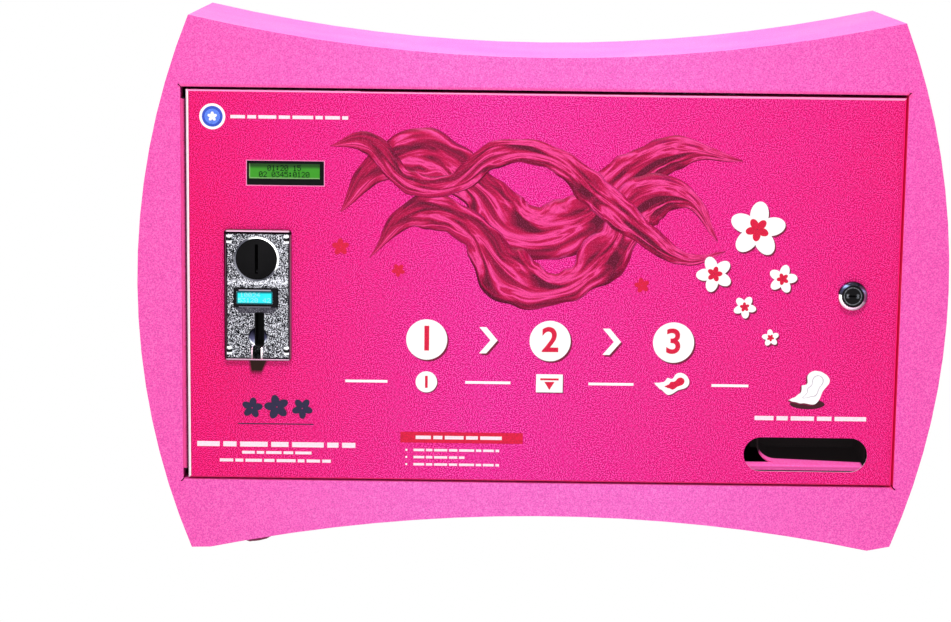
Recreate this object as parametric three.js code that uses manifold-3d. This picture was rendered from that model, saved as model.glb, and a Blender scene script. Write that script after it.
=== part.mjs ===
// Wall-mounted sanitary napkin vending machine, in millimetres.
// The wall is the plane y = 0 and the front looks along -Y; +X is to the right, +Z is up.
// A coin lets the door display count the stock, and a motor pushes one napkin off the stack:
// it drops down the chute and lies in the tray behind the slot in the door.

import * as THREE from 'three';
import { mergeVertices } from 'three/addons/utils/BufferGeometryUtils.js';
import Module from 'manifold-3d';

const wasm = await Module();
wasm.setup();

// Facets and cuts
const weldDistance = 0.0001;
const overrun = 2;
const fineSteps = 32;
const roundSteps = 24;
const holeSteps = 16;
const smallSteps = 12;
const hiddenSteps = 8;
const cornerSteps = 4;

// Cabinet shell: folded steel with a dipped top and bottom and bulging sides; the bottom edge
// lies a little lower at its left end, and its corners are clipped
const cornerHalfWidth = 342;
const cornerHalfHeight = 261.5;
const sideBulge = 51;
const edgeDip = 37;
const cabinetDepth = 218;
const sheet = 1.6;
const bottomDrop = 1;
const bottomSkew = 2.3;
const nipWidth = 18.5;
const nipHeightLeft = 0.3;
const nipHeightRight = 9.5;
const seamGap = 0.3;
const bowSteps = 16;
const fitGap = 0.3;

// Keyholes in the back panel
const keyholeInsetX = 92;
const keyholeInsetZ = 44;
const keyholeHeadRadius = 5;
const keyholeSlotWidth = 5.4;
const keyholeSlotRise = 11;

// Door opening in the fascia
const openingMarginLeft = 15.7;
const openingMarginRight = 18.7;
const openingMarginTop = 31.2;
const openingMarginBottom = 32;
const openingReturn = 20;
const reliefWidth = 1.2;
const reliefLength = 3.2;

// Door pan and the printed sheet on it
const hingeGap = 5;
const latchGap = 2;
const doorTopGap = 2.8;
const doorBottomGap = 2;
const doorReturn = 16;
const bendRadius = 1.6;
const bendSteps = 2;
const graphicThickness = 0.4;
const stiffenerWidth = 30;
const stiffenerFoot = 8;
const stiffenerHeight = 9.6;
const stiffenerSheet = 1.2;
const stiffenerEndGap = 24;
const stiffenerOffsets = { door_stiffener_left: -170, door_stiffener_right: 150 };

// Piano hinge
const hingeEndGap = 9;
const hingeKnuckles = 9;
const knuckleRadius = 2.4;
const knuckleBore = 1.3;
const knuckleGap = 0.4;
const hingePinRadius = 1;
const hingePinHeadRadius = 1.7;
const hingePinHead = 1;
const leafThickness = 0.9;
const leafReach = 12.5;
const hingeAxisDepth = 2.6;

// Cam lock
const lockFromLatchEdge = 45;
const lockBelowMiddle = 1.5;
const lockBezelRadius = 14.25;
const lockBezelHeight = 5;
const lockBezelRound = 1.8;
const lockRecessRadius = 11;
const lockRecessDepth = 3.8;
const lockBarrelRadius = 9.5;
const lockBarrelLength = 22;
const lockBoreRadius = 7.8;
const lockRunGap = 0.3;
const plugFaceInset = 1.2;
const plugRimWidth = 1.2;
const plugRimHeight = 0.5;
const keySlotLength = 8.5;
const keySlotWidth = 2;
const keySlotDepth = 6;
const lockNutFlats = 24;
const lockNutThickness = 4;
const camThickness = 2;
const camHubRadius = 9;
const camTipRadius = 7;
const camReach = 38;
const camProud = 0.5;
const camScrewRadius = 2;
const camScrewDepth = 7;
const camScrewHeadRadius = 4.5;
const camScrewHeadHeight = 3;
const camScrewSlot = 1.1;
const keeperWidth = 40;
const keeperReach = 20;
const keeperLeg = 14;
const keeperCamGap = 0.6;

// Stock display in the door
const displayFromHingeEdge = 95.6;
const displayBelowTopShare = 0.2087;
const displayWidth = 73.7;
const displayHeight = 23;
const displayDepth = 8.8;
const displayRecess = 0.2;
const displayLeftFrame = 1.5;
const displayRightFrame = 3.7;
const displayTopFrame = 2.5;
const displayBottomFrame = 5.5;
const displayGlassRecess = 2;
const displayBoardWidth = 80;
const displayBoardHeight = 36;
const boardThickness = 1.6;
const displayStudRadius = 2.4;
const displayStudInset = 2.5;
const driverRadius = 4.5;
const driverHeight = 1.5;
const driverSpacing = 26;
const headerLength = 40;
const headerSize = 2.5;

// Coin acceptor
const coinFromHingeEdge = 69;
const coinBelowTopShare = 0.5213;
const faceplateWidth = 65;
const faceplateHeight = 128.5;
const faceplateThickness = 5;
const faceplateCorner = 2;
const faceplateBevel = 1.4;
const faceplateRim = 1.8;
const faceplateRecess = 1.5;
const faceplateNeckWidth = 45;
const faceplateNeckHeight = 120;
const boltFromSide = 4.8;
const boltFromEnd = 9.5;
const boltRise = 0.4;
const boltHeadRadius = 2.9;
const boltHeadHeight = 2.4;
const boltShankRadius = 1.9;
const boltHoleRadius = 2.2;
const pressNutRadius = 3.8;
const pressNutLength = 3.5;
const releaseAbove = 35.8;
const releaseAside = -1.1;
const releaseRadius = 19.6;
const releaseGap = 0.6;
const releaseDome = 1.1;
const releaseProud = 1;
const releaseBack = 6;
const releaseTravel = 4;
const releaseEndGap = 1;
const releaseRingWidth = 1.6;
const releaseRingHeight = 1;
const coinSlotWidth = 3;
const coinSlotHeight = 29;
const coinSlotDepth = 22;
const windowAbove = -1.8;
const windowAside = -1.6;
const windowWidth = 43;
const windowHeight = 19.1;
const windowProud = 3.5;
const windowBevel = 1.2;
const windowLensWidth = 35;
const windowLensHeight = 12.5;
const windowLensRecess = 0.7;
const windowLensAside = -1.3;
const windowCorner = 1.5;
const returnAbove = -33.2;
const returnAside = 1.5;
const returnWidth = 7.1;
const returnHeight = 31;
const returnWall = 1;
const returnDepth = 18;
const scoopAbove = -40.5;
const scoopRadius = 10.5;
const scoopDepth = 1.9;
const lipAbove = -54.9;
const lipWidth = 10.8;
const lipHeight = 12.6;
const lipWall = 1.4;
const lipReach = 12.5;
const lipNose = 5;
const acceptorWidth = 44;
const acceptorHeight = 116;
const acceptorDepth = 66;
const acceptorShoulder = 24;
const acceptorTopSlope = 22;
const acceptorBottomSlope = 26;
const acceptorRibWidth = 2;
const acceptorRibHeight = 1.5;
const acceptorRibs = 4;
const acceptorPlugWidth = 20;
const acceptorPlugHeight = 9;
const acceptorPlugDepth = 6;

// Delivery slot, chute and tray
const slotFromLatchEdge = 85;
const slotAboveBottom = 30.3;
const slotWidth = 121;
const slotHeight = 34.2;
const chuteSheet = 1.2;
const trayFloorRise = 1.3;
const trayLeftRound = 20;
const trayRightRound = 4;
const apronFrontGap = 2.6;
const apronDepth = 28;
const apronSpread = 4;
const chuteWallTop = 2;
const chuteRightRise = 34;
const chuteDepth = 122;
const rampRun = 52;
const chuteArmWidth = 60;
const chuteFoot = 20;
const chuteRoundSteps = 6;

// Napkin magazine
const napkinWidth = 100;
const napkinDepth = 86;
const napkinThickness = 12;
const napkinSideGap = 3;
const magazineSheet = 1.2;
const magazineTopGap = 13;
const magazineLip = 18;
const magazineSetback = 46;
const magazineExit = 15;
const magazineToChute = 1.3;
const shelfAboveTray = 116;
const shelfLeft = 166;
const shelfFrontFlange = 11.2;
const shelfArmWidth = 50;
const shelfFoot = 20;
const followerThickness = 3;
const followerGap = 3;
const followerWeightWidth = 64;
const followerWeightDepth = 50;
const followerWeightHeight = 20;
const followerWeightCorner = 6;
const followerTabWidth = 56;
const followerTabReach = 7;
const followerTabLip = 12;
const followerHandleRadius = 4;
const followerHandleHeight = 14;
const followerBoreRadius = 8;

// Ejector blade with its rack
const bladeThickness = 10;
const bladeWall = 2;
const bladeRestGap = 9;
const bladeLength = 120;
const bladeSideGap = 1;
const bladeTab = 11;
const slideGap = 0.3;
const ejectorStroke = 116;
const rackWidth = 8;
const rackGap = 2;
const toothModule = 2;
const pinionTeeth = 15;
const pressureAngle = THREE.MathUtils.degToRad(20);
const backlash = 0.35;
const rackAddendumShare = 0.8;
const rackPitchRise = 2;
const rackTeeth = 22;
const rackTeethLeft = 19;
const rackEndBlock = 5;
const rootClearance = 0.5;
const flankSteps = 2;
const pinionFromMagazine = 66;

// Gearmotor
const shaftRadius = 4;
const shaftBore = 4.3;
const shaftProud = 2;
const shaftInGearbox = 12;
const pinionHubRadius = 7;
const pinionHubLength = 4;
const gearboxWidth = 42;
const gearboxDepth = 36;
const gearboxHeight = 56;
const gearboxCorner = 4;
const gearboxGap = 4;
const gearboxAbovePinion = 17;
const gearboxBossRadius = 9;
const gearboxBossHeight = 1.5;
const gearboxLidInset = 4;
const gearboxLidHeight = 1.5;
const motorRadius = 16;
const motorLength = 52;
const motorRound = 3;
const motorBossRadius = 5;
const motorBossHeight = 3;
const motorTabWidth = 4;
const motorTabLength = 5;
const motorTabThickness = 0.8;
const bracketSheet = 1.6;
const bracketWidth = 56;
const bracketHeight = 40;
const bracketFoot = 12;
const guideWidth = 56;
const guideBase = 3;
const guideWall = 2.4;
const guideTop = 3;

// Home switch
const switchLength = 20;
const switchHeight = 10;
const switchThickness = 6.4;
const switchGap = 3.2;
const switchLeverReach = 2.8;
const switchLeverThickness = 0.5;
const switchLeverWidth = 4;
const switchPinLength = 3;

// Control board and power supply on the back panel
const controlLeft = -72;
const controlWidth = 122;
const controlHeight = 92;
const controlAbove = 48;
const controlStandoff = 10;
const controlStandoffRadius = 3;
const controlStandoffInset = 6;
const relayWidth = 19;
const relayDepth = 15.5;
const relayHeight = 15;
const relayPitch = 22;
const relays = 3;
const terminalPitch = 5;
const terminals = 10;
const terminalDepth = 8;
const terminalHeight = 10;
const terminalFunnel = 2.5;
const capacitorRadius = 5;
const capacitorHeight = 16;
const capacitors = 2;
const chipLength = 36;
const chipWidth = 8;
const chipHeight = 3.5;
const heatSinkFins = 5;
const heatSinkPitch = 4;
const heatSinkFin = 1;
const heatSinkDepth = 14;
const heatSinkHeight = 18;
const boardMargin = 6;
const supplyLeft = -206;
const supplyWidth = 110;
const supplyHeight = 78;
const supplyDepth = 36;
const supplyAbove = 56;
const supplyCorner = 2;
const supplyStep = 12;
const supplyStepDepth = 14;
const supplyTerminals = 7;
const supplyTerminalPitch = 9;
const supplyVents = 8;
const supplyVentPitch = 8;
const supplyVentWidth = 3;
const supplyVentLength = 44;
const supplyVentDepth = 1;

// Coin box and its shelf
const coinBoxWidth = 86;
const coinBoxDepth = 110;
const coinBoxHeight = 68;
const coinBoxWall = 1.2;
const coinBoxSetback = 34;
const coinBoxBelowAcceptor = 32;
const coinBoxHandleWidth = 34;
const coinBoxHandleReach = 9;
const coinBoxHandleBar = 3;
const coinShelfMargin = 4;
const coinShelfLip = 6;
const coinShelfFoot = 28;
const coinShelfGap = 1;

// Cable gland in the bottom panel
const glandFromLeft = 59.4;
const glandSetback = 56;
const glandThreadRadius = 12.2;
const glandBoreRadius = 7.2;
const glandHoleGap = 0.3;
const glandHexFlats = 30;
const glandHexHeight = 12;
const glandDomeHeight = 1.6;
const glandDomeRadius = 12.6;
const glandMouthRadius = 9.4;
const glandThreadLength = 9;
const glandNutFlats = 30;
const glandNutHeight = 4;

// Colours and finishes
function finish(color, roughness, metalness) {
  return new THREE.MeshStandardMaterial({ color, roughness, metalness });
}

const pinkPaint = finish(0xf46bc4, 0.45, 0.1);
const printedPink = finish(0xee2f8d, 0.5, 0);
const whitePaint = finish(0xf4e8f0, 0.5, 0.1);
const galvanised = finish(0xa9adb2, 0.45, 0.9);
const stainless = finish(0xc4c6ca, 0.3, 1);
const chrome = finish(0xd8dade, 0.12, 1);
const hammered = finish(0x8a8a90, 0.4, 0.9);
const blackPlastic = finish(0x16151a, 0.35, 0);
const darkPlastic = finish(0x2a2a2e, 0.6, 0);
const whitePlastic = finish(0xe6e6e0, 0.5, 0);
const greenGlass = finish(0x3a8c28, 0.15, 0);
const cyanLens = finish(0x49ecef, 0.2, 0);
const circuitGreen = finish(0x1f6b3a, 0.5, 0);
const motorSteel = finish(0x8f9398, 0.35, 0.9);
const castAlloy = finish(0x9a9da1, 0.5, 0.8);

// Solids from three.js geometry, and back. Faces that come out inverted are turned round.
function toSolid(geometry) {
  const bare = geometry.clone();
  bare.deleteAttribute('normal');
  bare.deleteAttribute('uv');
  const merged = mergeVertices(bare, weldDistance);
  const place = merged.attributes.position.array;
  const corners = merged.index.array;
  const faces = [];
  let volume = 0;
  for (let i = 0; i < corners.length; i += 3) {
    const [a, b, c] = [corners[i], corners[i + 1], corners[i + 2]];
    if (a === b || b === c || c === a) continue;
    faces.push([a, b, c]);
    const [p, q, r] = [a, b, c].map((n) => new THREE.Vector3().fromArray(place, 3 * n));
    volume += p.dot(q.cross(r));
  }
  const outward = volume < 0 ? faces.map((face) => face.reverse()) : faces;
  const mesh = {
    numProp: 3,
    vertProperties: new Float32Array(place),
    triVerts: new Uint32Array(outward.flat()),
  };
  return new wasm.Manifold(new wasm.Mesh(mesh));
}

function toGeometry(body) {
  const mesh = body.getMesh();
  const geometry = new THREE.BufferGeometry();
  geometry.setAttribute('position', new THREE.BufferAttribute(mesh.vertProperties, 3));
  geometry.setIndex(new THREE.BufferAttribute(mesh.triVerts, 1));
  geometry.computeVertexNormals();
  return geometry;
}

function join(...bodies) {
  return bodies.reduce((whole, body) => whole.add(body));
}

function cut(body, ...tools) {
  return tools.reduce((rest, tool) => rest.subtract(tool), body);
}

// Flat outlines
function outline(points) {
  return new THREE.Shape(points.map(([a, b]) => new THREE.Vector2(a, b)));
}

function rectangle(a0, a1, b0, b1) {
  return outline([[a0, b0], [a1, b0], [a1, b1], [a0, b1]]);
}

function roundedRectangle(a0, a1, b0, b1, radius) {
  const shape = new THREE.Shape();
  shape.absarc(a1 - radius, b0 + radius, radius, -Math.PI / 2, 0);
  shape.absarc(a1 - radius, b1 - radius, radius, 0, Math.PI / 2);
  shape.absarc(a0 + radius, b1 - radius, radius, Math.PI / 2, Math.PI);
  shape.absarc(a0 + radius, b0 + radius, radius, Math.PI, 1.5 * Math.PI);
  return shape;
}

function hexagon(flats) {
  const radius = flats / Math.sqrt(3);
  const corners = [0, 1, 2, 3, 4, 5].map((n) => (n * Math.PI) / 3);
  return outline(corners.map((angle) => [radius * Math.cos(angle), radius * Math.sin(angle)]));
}

// Extrusions: facing draws in x and z, across in y and z, upright in x and y
const axisX = new THREE.Vector3(1, 0, 0);
const axisY = new THREE.Vector3(0, 1, 0);
const axisZ = new THREE.Vector3(0, 0, 1);
const facingView = new THREE.Matrix4().makeBasis(axisX, axisZ, axisY.clone().negate());
const acrossView = new THREE.Matrix4().makeBasis(axisY, axisZ, axisX);

function extrude(shape, depth, curveSegments) {
  return new THREE.ExtrudeGeometry(shape, { depth, curveSegments, bevelEnabled: false });
}

function facing(shape, yFront, yBack, steps = cornerSteps) {
  return toSolid(extrude(shape, yBack - yFront, steps).applyMatrix4(facingView).translate(0, yBack, 0));
}

function across(shape, xLeft, xRight, steps = cornerSteps) {
  return toSolid(extrude(shape, xRight - xLeft, steps).applyMatrix4(acrossView).translate(xLeft, 0, 0));
}

function upright(shape, zLow, zHigh, steps = cornerSteps) {
  return toSolid(extrude(shape, zHigh - zLow, steps).translate(0, 0, zLow));
}

function block(x0, x1, y0, y1, z0, z1) {
  const box = new THREE.BoxGeometry(x1 - x0, y1 - y0, z1 - z0);
  return toSolid(box.translate((x0 + x1) / 2, (y0 + y1) / 2, (z0 + z1) / 2));
}

// Round bodies: turned revolves [radius, y] points about the y axis
function turned(profile, steps = roundSteps) {
  const points = profile.map(([radius, y]) => new THREE.Vector2(radius, y));
  return toSolid(new THREE.LatheGeometry(points, steps));
}

function rodY(radius, y0, y1, x = 0, z = 0, steps = roundSteps) {
  const rod = new THREE.CylinderGeometry(radius, radius, y1 - y0, steps);
  return toSolid(rod.translate(x, (y0 + y1) / 2, z));
}

function rodZ(radius, z0, z1, x = 0, y = 0, steps = roundSteps) {
  const rod = new THREE.CylinderGeometry(radius, radius, z1 - z0, steps).rotateX(Math.PI / 2);
  return toSolid(rod.translate(x, y, (z0 + z1) / 2));
}

// A bar of one width with a round end at each of two points, drawn in x and z
function linkBar(from, to, radiusFrom, radiusTo, yFront, yBack) {
  const [x0, z0] = from;
  const [x1, z1] = to;
  const angle = Math.atan2(z1 - z0, x1 - x0);
  const lean = Math.acos((radiusFrom - radiusTo) / Math.hypot(x1 - x0, z1 - z0));
  const shape = new THREE.Shape();
  shape.absarc(x1, z1, radiusTo, angle - lean, angle + lean);
  shape.absarc(x0, z0, radiusFrom, angle + lean, angle - lean + 2 * Math.PI);
  return facing(shape, yFront, yBack, smallSteps);
}

const machine = new THREE.Group();

function subassembly(parent, x, y, z) {
  const group = new THREE.Group();
  group.position.set(x, y, z);
  parent.add(group);
  return group;
}

function addPiece(parent, name, body, material) {
  const mesh = new THREE.Mesh(toGeometry(body), material);
  mesh.name = name;
  parent.add(mesh);
  return mesh;
}

// Cabinet outline, walked anticlockwise from the left end of the bottom edge
function bow(halfChord, rise, fromAlong, toAlong) {
  const radius = (halfChord ** 2 + rise ** 2) / (2 * Math.abs(rise));
  const start = Math.asin(fromAlong / radius);
  const end = Math.asin(toAlong / radius);
  const points = [];
  for (let step = 0; step <= bowSteps; step++) {
    const angle = start + ((end - start) * step) / bowSteps;
    const out = Math.sign(rise) * (radius * Math.cos(angle) - radius + Math.abs(rise));
    points.push([radius * Math.sin(angle), out]);
  }
  return points;
}

const bottomReach = cornerHalfWidth - nipWidth;
const bottomLean = bottomSkew / cornerHalfWidth;
const bottomEdge = bow(cornerHalfWidth, -edgeDip, -bottomReach, bottomReach)
  .map(([along, out]) => [along, -cornerHalfHeight - out - bottomDrop + along * bottomLean]);
const rightEdge = bow(cornerHalfHeight, sideBulge, -cornerHalfHeight + nipHeightRight, cornerHalfHeight)
  .map(([along, out]) => [cornerHalfWidth + out, along]);
const topEdge = bow(cornerHalfWidth, -edgeDip, -cornerHalfWidth, cornerHalfWidth)
  .map(([along, out]) => [-along, cornerHalfHeight + out]);
const leftEdge = bow(cornerHalfHeight, sideBulge, -cornerHalfHeight, cornerHalfHeight - nipHeightLeft)
  .map(([along, out]) => [-cornerHalfWidth - out, -along]);
const outerLoop = [...bottomEdge, ...rightEdge, ...topEdge.slice(1), ...leftEdge.slice(1)];
const innerLoop = insetLoop(outerLoop, sheet);
const rightStart = bowSteps + 1;
const topStart = rightStart + bowSteps;
const leftStart = topStart + bowSteps;
const leftEnd = leftStart + bowSteps;

function insetLoop(points, distance) {
  return points.map(([x, z], i) => {
    const [xBefore, zBefore] = points.at(i - 1);
    const [xAfter, zAfter] = points[(i + 1) % points.length];
    const before = new THREE.Vector2(zBefore - z, x - xBefore).normalize();
    const after = new THREE.Vector2(z - zAfter, xAfter - x).normalize();
    const step = distance / (1 + before.dot(after));
    return [x + (before.x + after.x) * step, z + (before.y + after.y) * step];
  });
}

function towards([x0, z0], [x1, z1], distance) {
  const share = distance / Math.hypot(x1 - x0, z1 - z0);
  return [x0 + (x1 - x0) * share, z0 + (z1 - z0) * share];
}

// One shell panel: the wall between the two loops over a run of points, short of its seams
function wallPanel(indexes) {
  const walls = [outerLoop, innerLoop].map((loop) => {
    const run = indexes.map((i) => loop[i]);
    const first = towards(run[0], run[1], seamGap / 2);
    const last = towards(run.at(-1), run.at(-2), seamGap / 2);
    return [first, ...run.slice(1, -1), last];
  });
  return facing(outline([...walls[0], ...walls[1].reverse()]), -cabinetDepth + sheet, -sheet);
}

function span(first, last) {
  return Array.from({ length: last - first + 1 }, (_, i) => first + i);
}

// Half width of the cabinet at a height, and half height at a distance from the middle
function sideAt(z) {
  const radius = (cornerHalfHeight ** 2 + sideBulge ** 2) / (2 * sideBulge);
  return cornerHalfWidth + sideBulge - radius + Math.sqrt(radius ** 2 - z ** 2);
}

function edgeAt(x) {
  const radius = (cornerHalfWidth ** 2 + edgeDip ** 2) / (2 * edgeDip);
  return cornerHalfHeight - edgeDip + radius - Math.sqrt(radius ** 2 - x ** 2);
}

function bottomAt(x) {
  return edgeAt(x) + bottomDrop - x * bottomLean;
}

const openingTop = cornerHalfHeight - edgeDip - openingMarginTop;
const openingBottom = -(cornerHalfHeight - edgeDip - openingMarginBottom);
const openingLeft = -(sideAt(openingTop) - openingMarginLeft);
const openingRight = sideAt(openingTop) - openingMarginRight;
const insideFront = -cabinetDepth + sheet;
const insideBack = -sheet;

function frontFascia() {
  const returnBack = -cabinetDepth + openingReturn;
  const front = -cabinetDepth;
  const plate = facing(outline(outerLoop), front, insideFront);
  const collar = block(openingLeft - sheet, openingRight + sheet, front, returnBack,
    openingBottom - sheet, openingTop + sheet);
  const opening = block(openingLeft, openingRight, front - overrun, returnBack + overrun,
    openingBottom, openingTop);
  const reliefs = [];
  for (const x of [openingLeft, openingRight]) {
    for (const z of [openingBottom, openingTop]) {
      const lean = Math.sign(x * z) * Math.PI / 4;
      const slit = new THREE.BoxGeometry(2 * reliefLength, openingReturn + 2 * overrun, reliefWidth);
      reliefs.push(toSolid(slit.rotateY(-lean).translate(x, (front + returnBack) / 2, z)));
    }
  }
  return cut(join(plate, collar), opening, ...reliefs);
}

function backPanel() {
  let panel = facing(outline(outerLoop), -sheet, 0);
  const halfSpanX = cornerHalfWidth - keyholeInsetX;
  const halfSpanZ = edgeAt(halfSpanX) - keyholeInsetZ;
  for (const x of [-halfSpanX, halfSpanX]) {
    for (const z of [-halfSpanZ, halfSpanZ]) {
      const head = rodY(keyholeHeadRadius, -sheet - overrun, overrun, x, z, holeSteps);
      const neck = roundedRectangle(x - keyholeSlotWidth / 2, x + keyholeSlotWidth / 2,
        z - keyholeSlotWidth / 2, z + keyholeSlotRise, keyholeSlotWidth / 2);
      panel = cut(panel, head, facing(neck, -sheet - overrun, overrun));
    }
  }
  return panel;
}

// Cable gland, square to the sloping bottom panel
const glandX = -(cornerHalfWidth - glandFromLeft);
const glandY = -cabinetDepth + glandSetback;
const glandSlope = Math.atan2(bottomAt(glandX + glandThreadRadius) - bottomAt(glandX - glandThreadRadius),
  2 * glandThreadRadius);
const glandGroup = subassembly(machine, glandX, glandY, -bottomAt(glandX));
glandGroup.rotation.y = glandSlope;

function glandHole() {
  const hole = new THREE.CylinderGeometry(glandThreadRadius + glandHoleGap, glandThreadRadius + glandHoleGap,
    2 * glandThreadLength, roundSteps);
  return toSolid(hole.rotateX(Math.PI / 2).rotateY(glandSlope).translate(glandX, glandY, -bottomAt(glandX)));
}

function glandBody() {
  const seat = -seamGap;
  const hexBottom = seat - glandHexHeight;
  const mouth = hexBottom - glandDomeHeight;
  const hex = upright(hexagon(glandHexFlats), hexBottom, seat);
  const thread = rodZ(glandThreadRadius, seat, glandThreadLength);
  const domeProfile = [[0, hexBottom], [glandDomeRadius, hexBottom]];
  for (let step = 0; step <= cornerSteps; step++) {
    const angle = (step / cornerSteps) * (Math.PI / 2);
    const radius = glandMouthRadius + (glandDomeRadius - glandMouthRadius) * Math.cos(angle);
    domeProfile.push([radius, hexBottom - glandDomeHeight / 2 - (glandDomeHeight / 2) * Math.sin(angle)]);
  }
  domeProfile.push([0, mouth]);
  const points = domeProfile.map(([radius, z]) => new THREE.Vector2(radius, z));
  const dome = toSolid(new THREE.LatheGeometry(points, holeSteps).rotateX(Math.PI / 2));
  const bore = rodZ(glandBoreRadius, mouth - overrun, glandThreadLength + overrun);
  return cut(join(hex, thread, dome), bore);
}

function glandNut() {
  const seat = sheet + seamGap;
  const ring = upright(hexagon(glandNutFlats), seat, seat + glandNutHeight);
  return cut(ring, rodZ(glandThreadRadius + glandHoleGap, 0, seat + glandNutHeight + overrun));
}

addPiece(machine, 'front_fascia', frontFascia(), pinkPaint);
addPiece(machine, 'right_side_panel', wallPanel(span(rightStart, topStart)), pinkPaint);
addPiece(machine, 'top_panel', wallPanel(span(topStart, leftStart)), pinkPaint);
addPiece(machine, 'left_side_panel', wallPanel(span(leftStart, leftEnd)), pinkPaint);
const bottomBlank = wallPanel([leftEnd, ...span(0, rightStart)]);
addPiece(machine, 'bottom_panel', cut(bottomBlank, glandHole()), pinkPaint);
addPiece(machine, 'back_panel', backPanel(), pinkPaint);
addPiece(glandGroup, 'cable_gland_body', glandBody(), blackPlastic);
addPiece(glandGroup, 'cable_gland_nut', glandNut(), blackPlastic);

// Door: a shallow pan whose printed face lies flush with the fascia
const doorLeft = openingLeft + hingeGap;
const doorRight = openingRight - latchGap;
const doorTop = openingTop - doorTopGap;
const doorBottom = openingBottom + doorBottomGap;
const doorFace = -cabinetDepth + graphicThickness;
const coinX = doorLeft + coinFromHingeEdge;
const doorHeight = doorTop - doorBottom;
const coinZ = doorTop - coinBelowTopShare * doorHeight;
const displayX = doorLeft + displayFromHingeEdge;
const displayZ = doorTop - displayBelowTopShare * doorHeight;
const lockX = doorRight - lockFromLatchEdge;
const lockZ = (doorTop + doorBottom) / 2 - lockBelowMiddle;
const slotX = doorRight - slotFromLatchEdge;
const slotZ = doorBottom + slotAboveBottom;
const door = subassembly(machine, 0, doorFace, 0);

// Every hole that the door skin and the printed sheet share
function doorHoles(yFront, yBack) {
  const halfSlot = slotWidth / 2;
  const halfDisplay = displayWidth / 2 + fitGap;
  const displayHalfHeight = displayHeight / 2 + fitGap;
  const slot = roundedRectangle(slotX - halfSlot, slotX + halfSlot, slotZ - slotHeight / 2,
    slotZ + slotHeight / 2, slotHeight / 2);
  const holes = [
    facing(slot, yFront, yBack, chuteRoundSteps),
    block(displayX - halfDisplay, displayX + halfDisplay, yFront, yBack,
      displayZ - displayHalfHeight, displayZ + displayHalfHeight),
    block(coinX - faceplateNeckWidth / 2, coinX + faceplateNeckWidth / 2, yFront, yBack,
      coinZ - faceplateNeckHeight / 2, coinZ + faceplateNeckHeight / 2),
    rodY(lockBarrelRadius + fitGap, yFront, yBack, lockX, lockZ),
  ];
  for (const [x, z] of boltPlaces()) {
    holes.push(rodY(boltHoleRadius, yFront, yBack, coinX + x, coinZ + z, hiddenSteps));
  }
  return holes;
}

function boltPlaces() {
  const places = [];
  const spanX = faceplateWidth - 2 * boltFromSide;
  const spanZ = faceplateHeight - 2 * boltFromEnd;
  for (const x of [-spanX / 2, spanX / 2]) {
    for (const z of [spanZ / 2, -spanZ / 2]) places.push([x, boltRise + z]);
  }
  return places;
}

function doorPan() {
  const blank = new THREE.ExtrudeGeometry(
    rectangle(doorLeft + bendRadius, doorRight - bendRadius, doorBottom + bendRadius, doorTop - bendRadius),
    { depth: doorReturn, bevelThickness: bendRadius, bevelSize: bendRadius, bevelSegments: bendSteps },
  );
  const rounded = toSolid(blank.applyMatrix4(facingView).translate(0, doorReturn + bendRadius, 0));
  const trimmed = rounded.subtract(block(doorLeft - overrun, doorRight + overrun, doorReturn,
    doorReturn + 2 * bendRadius + overrun, doorBottom - overrun, doorTop + overrun));
  const hollow = block(doorLeft + sheet, doorRight - sheet, sheet, doorReturn + overrun,
    doorBottom + sheet, doorTop - sheet);
  const fixings = [];
  const studX = displayBoardWidth / 2 - displayStudInset;
  const studZ = displayBoardHeight / 2 - displayStudInset;
  for (const x of [-studX, studX]) {
    for (const z of [-studZ, studZ]) {
      fixings.push(rodY(displayStudRadius, sheet / 2, displayRecess + displayDepth,
        displayX + x, displayZ + z, hiddenSteps));
    }
  }
  for (const [x, z] of boltPlaces()) {
    fixings.push(rodY(pressNutRadius, sheet / 2, sheet + pressNutLength, coinX + x, coinZ + z, smallSteps));
  }
  const holes = doorHoles(-overrun, sheet + pressNutLength + overrun);
  return cut(join(cut(trimmed, hollow), ...fixings), ...holes);
}

function doorGraphic() {
  const edge = bendRadius;
  const film = block(doorLeft + edge, doorRight - edge, -graphicThickness, 0,
    doorBottom + edge, doorTop - edge);
  return cut(film, ...doorHoles(-overrun, overrun));
}

// Hat section, drawn in x and y, with its feet on the back of the door skin
function doorStiffener(middle) {
  const half = stiffenerWidth / 2;
  const crown = half - stiffenerFoot;
  const back = sheet + stiffenerHeight;
  const section = outline([
    [middle - half, sheet], [middle - crown, sheet], [middle - crown, back - stiffenerSheet],
    [middle + crown, back - stiffenerSheet], [middle + crown, sheet], [middle + half, sheet],
    [middle + half, sheet + stiffenerSheet], [middle + crown + stiffenerSheet, sheet + stiffenerSheet],
    [middle + crown + stiffenerSheet, back], [middle - crown - stiffenerSheet, back],
    [middle - crown - stiffenerSheet, sheet + stiffenerSheet], [middle - half, sheet + stiffenerSheet],
  ]);
  return upright(section, doorBottom + stiffenerEndGap, doorTop - stiffenerEndGap);
}

addPiece(door, 'door_pan', doorPan(), whitePaint);
addPiece(door, 'door_graphic_sheet', doorGraphic(), printedPink);
for (const [name, middle] of Object.entries(stiffenerOffsets)) {
  addPiece(door, name, doorStiffener(middle), galvanised);
}

// Piano hinge: leaves flat on the fascia return and on the door return
const hingeX = (openingLeft + doorLeft) / 2;
const hingeY = -cabinetDepth + hingeAxisDepth;
const hingeBottom = doorBottom + hingeEndGap;
const hingeLength = doorHeight - 2 * hingeEndGap;
const knucklePitch = hingeLength / hingeKnuckles;
const hinge = subassembly(machine, hingeX, hingeY, hingeBottom);

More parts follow.
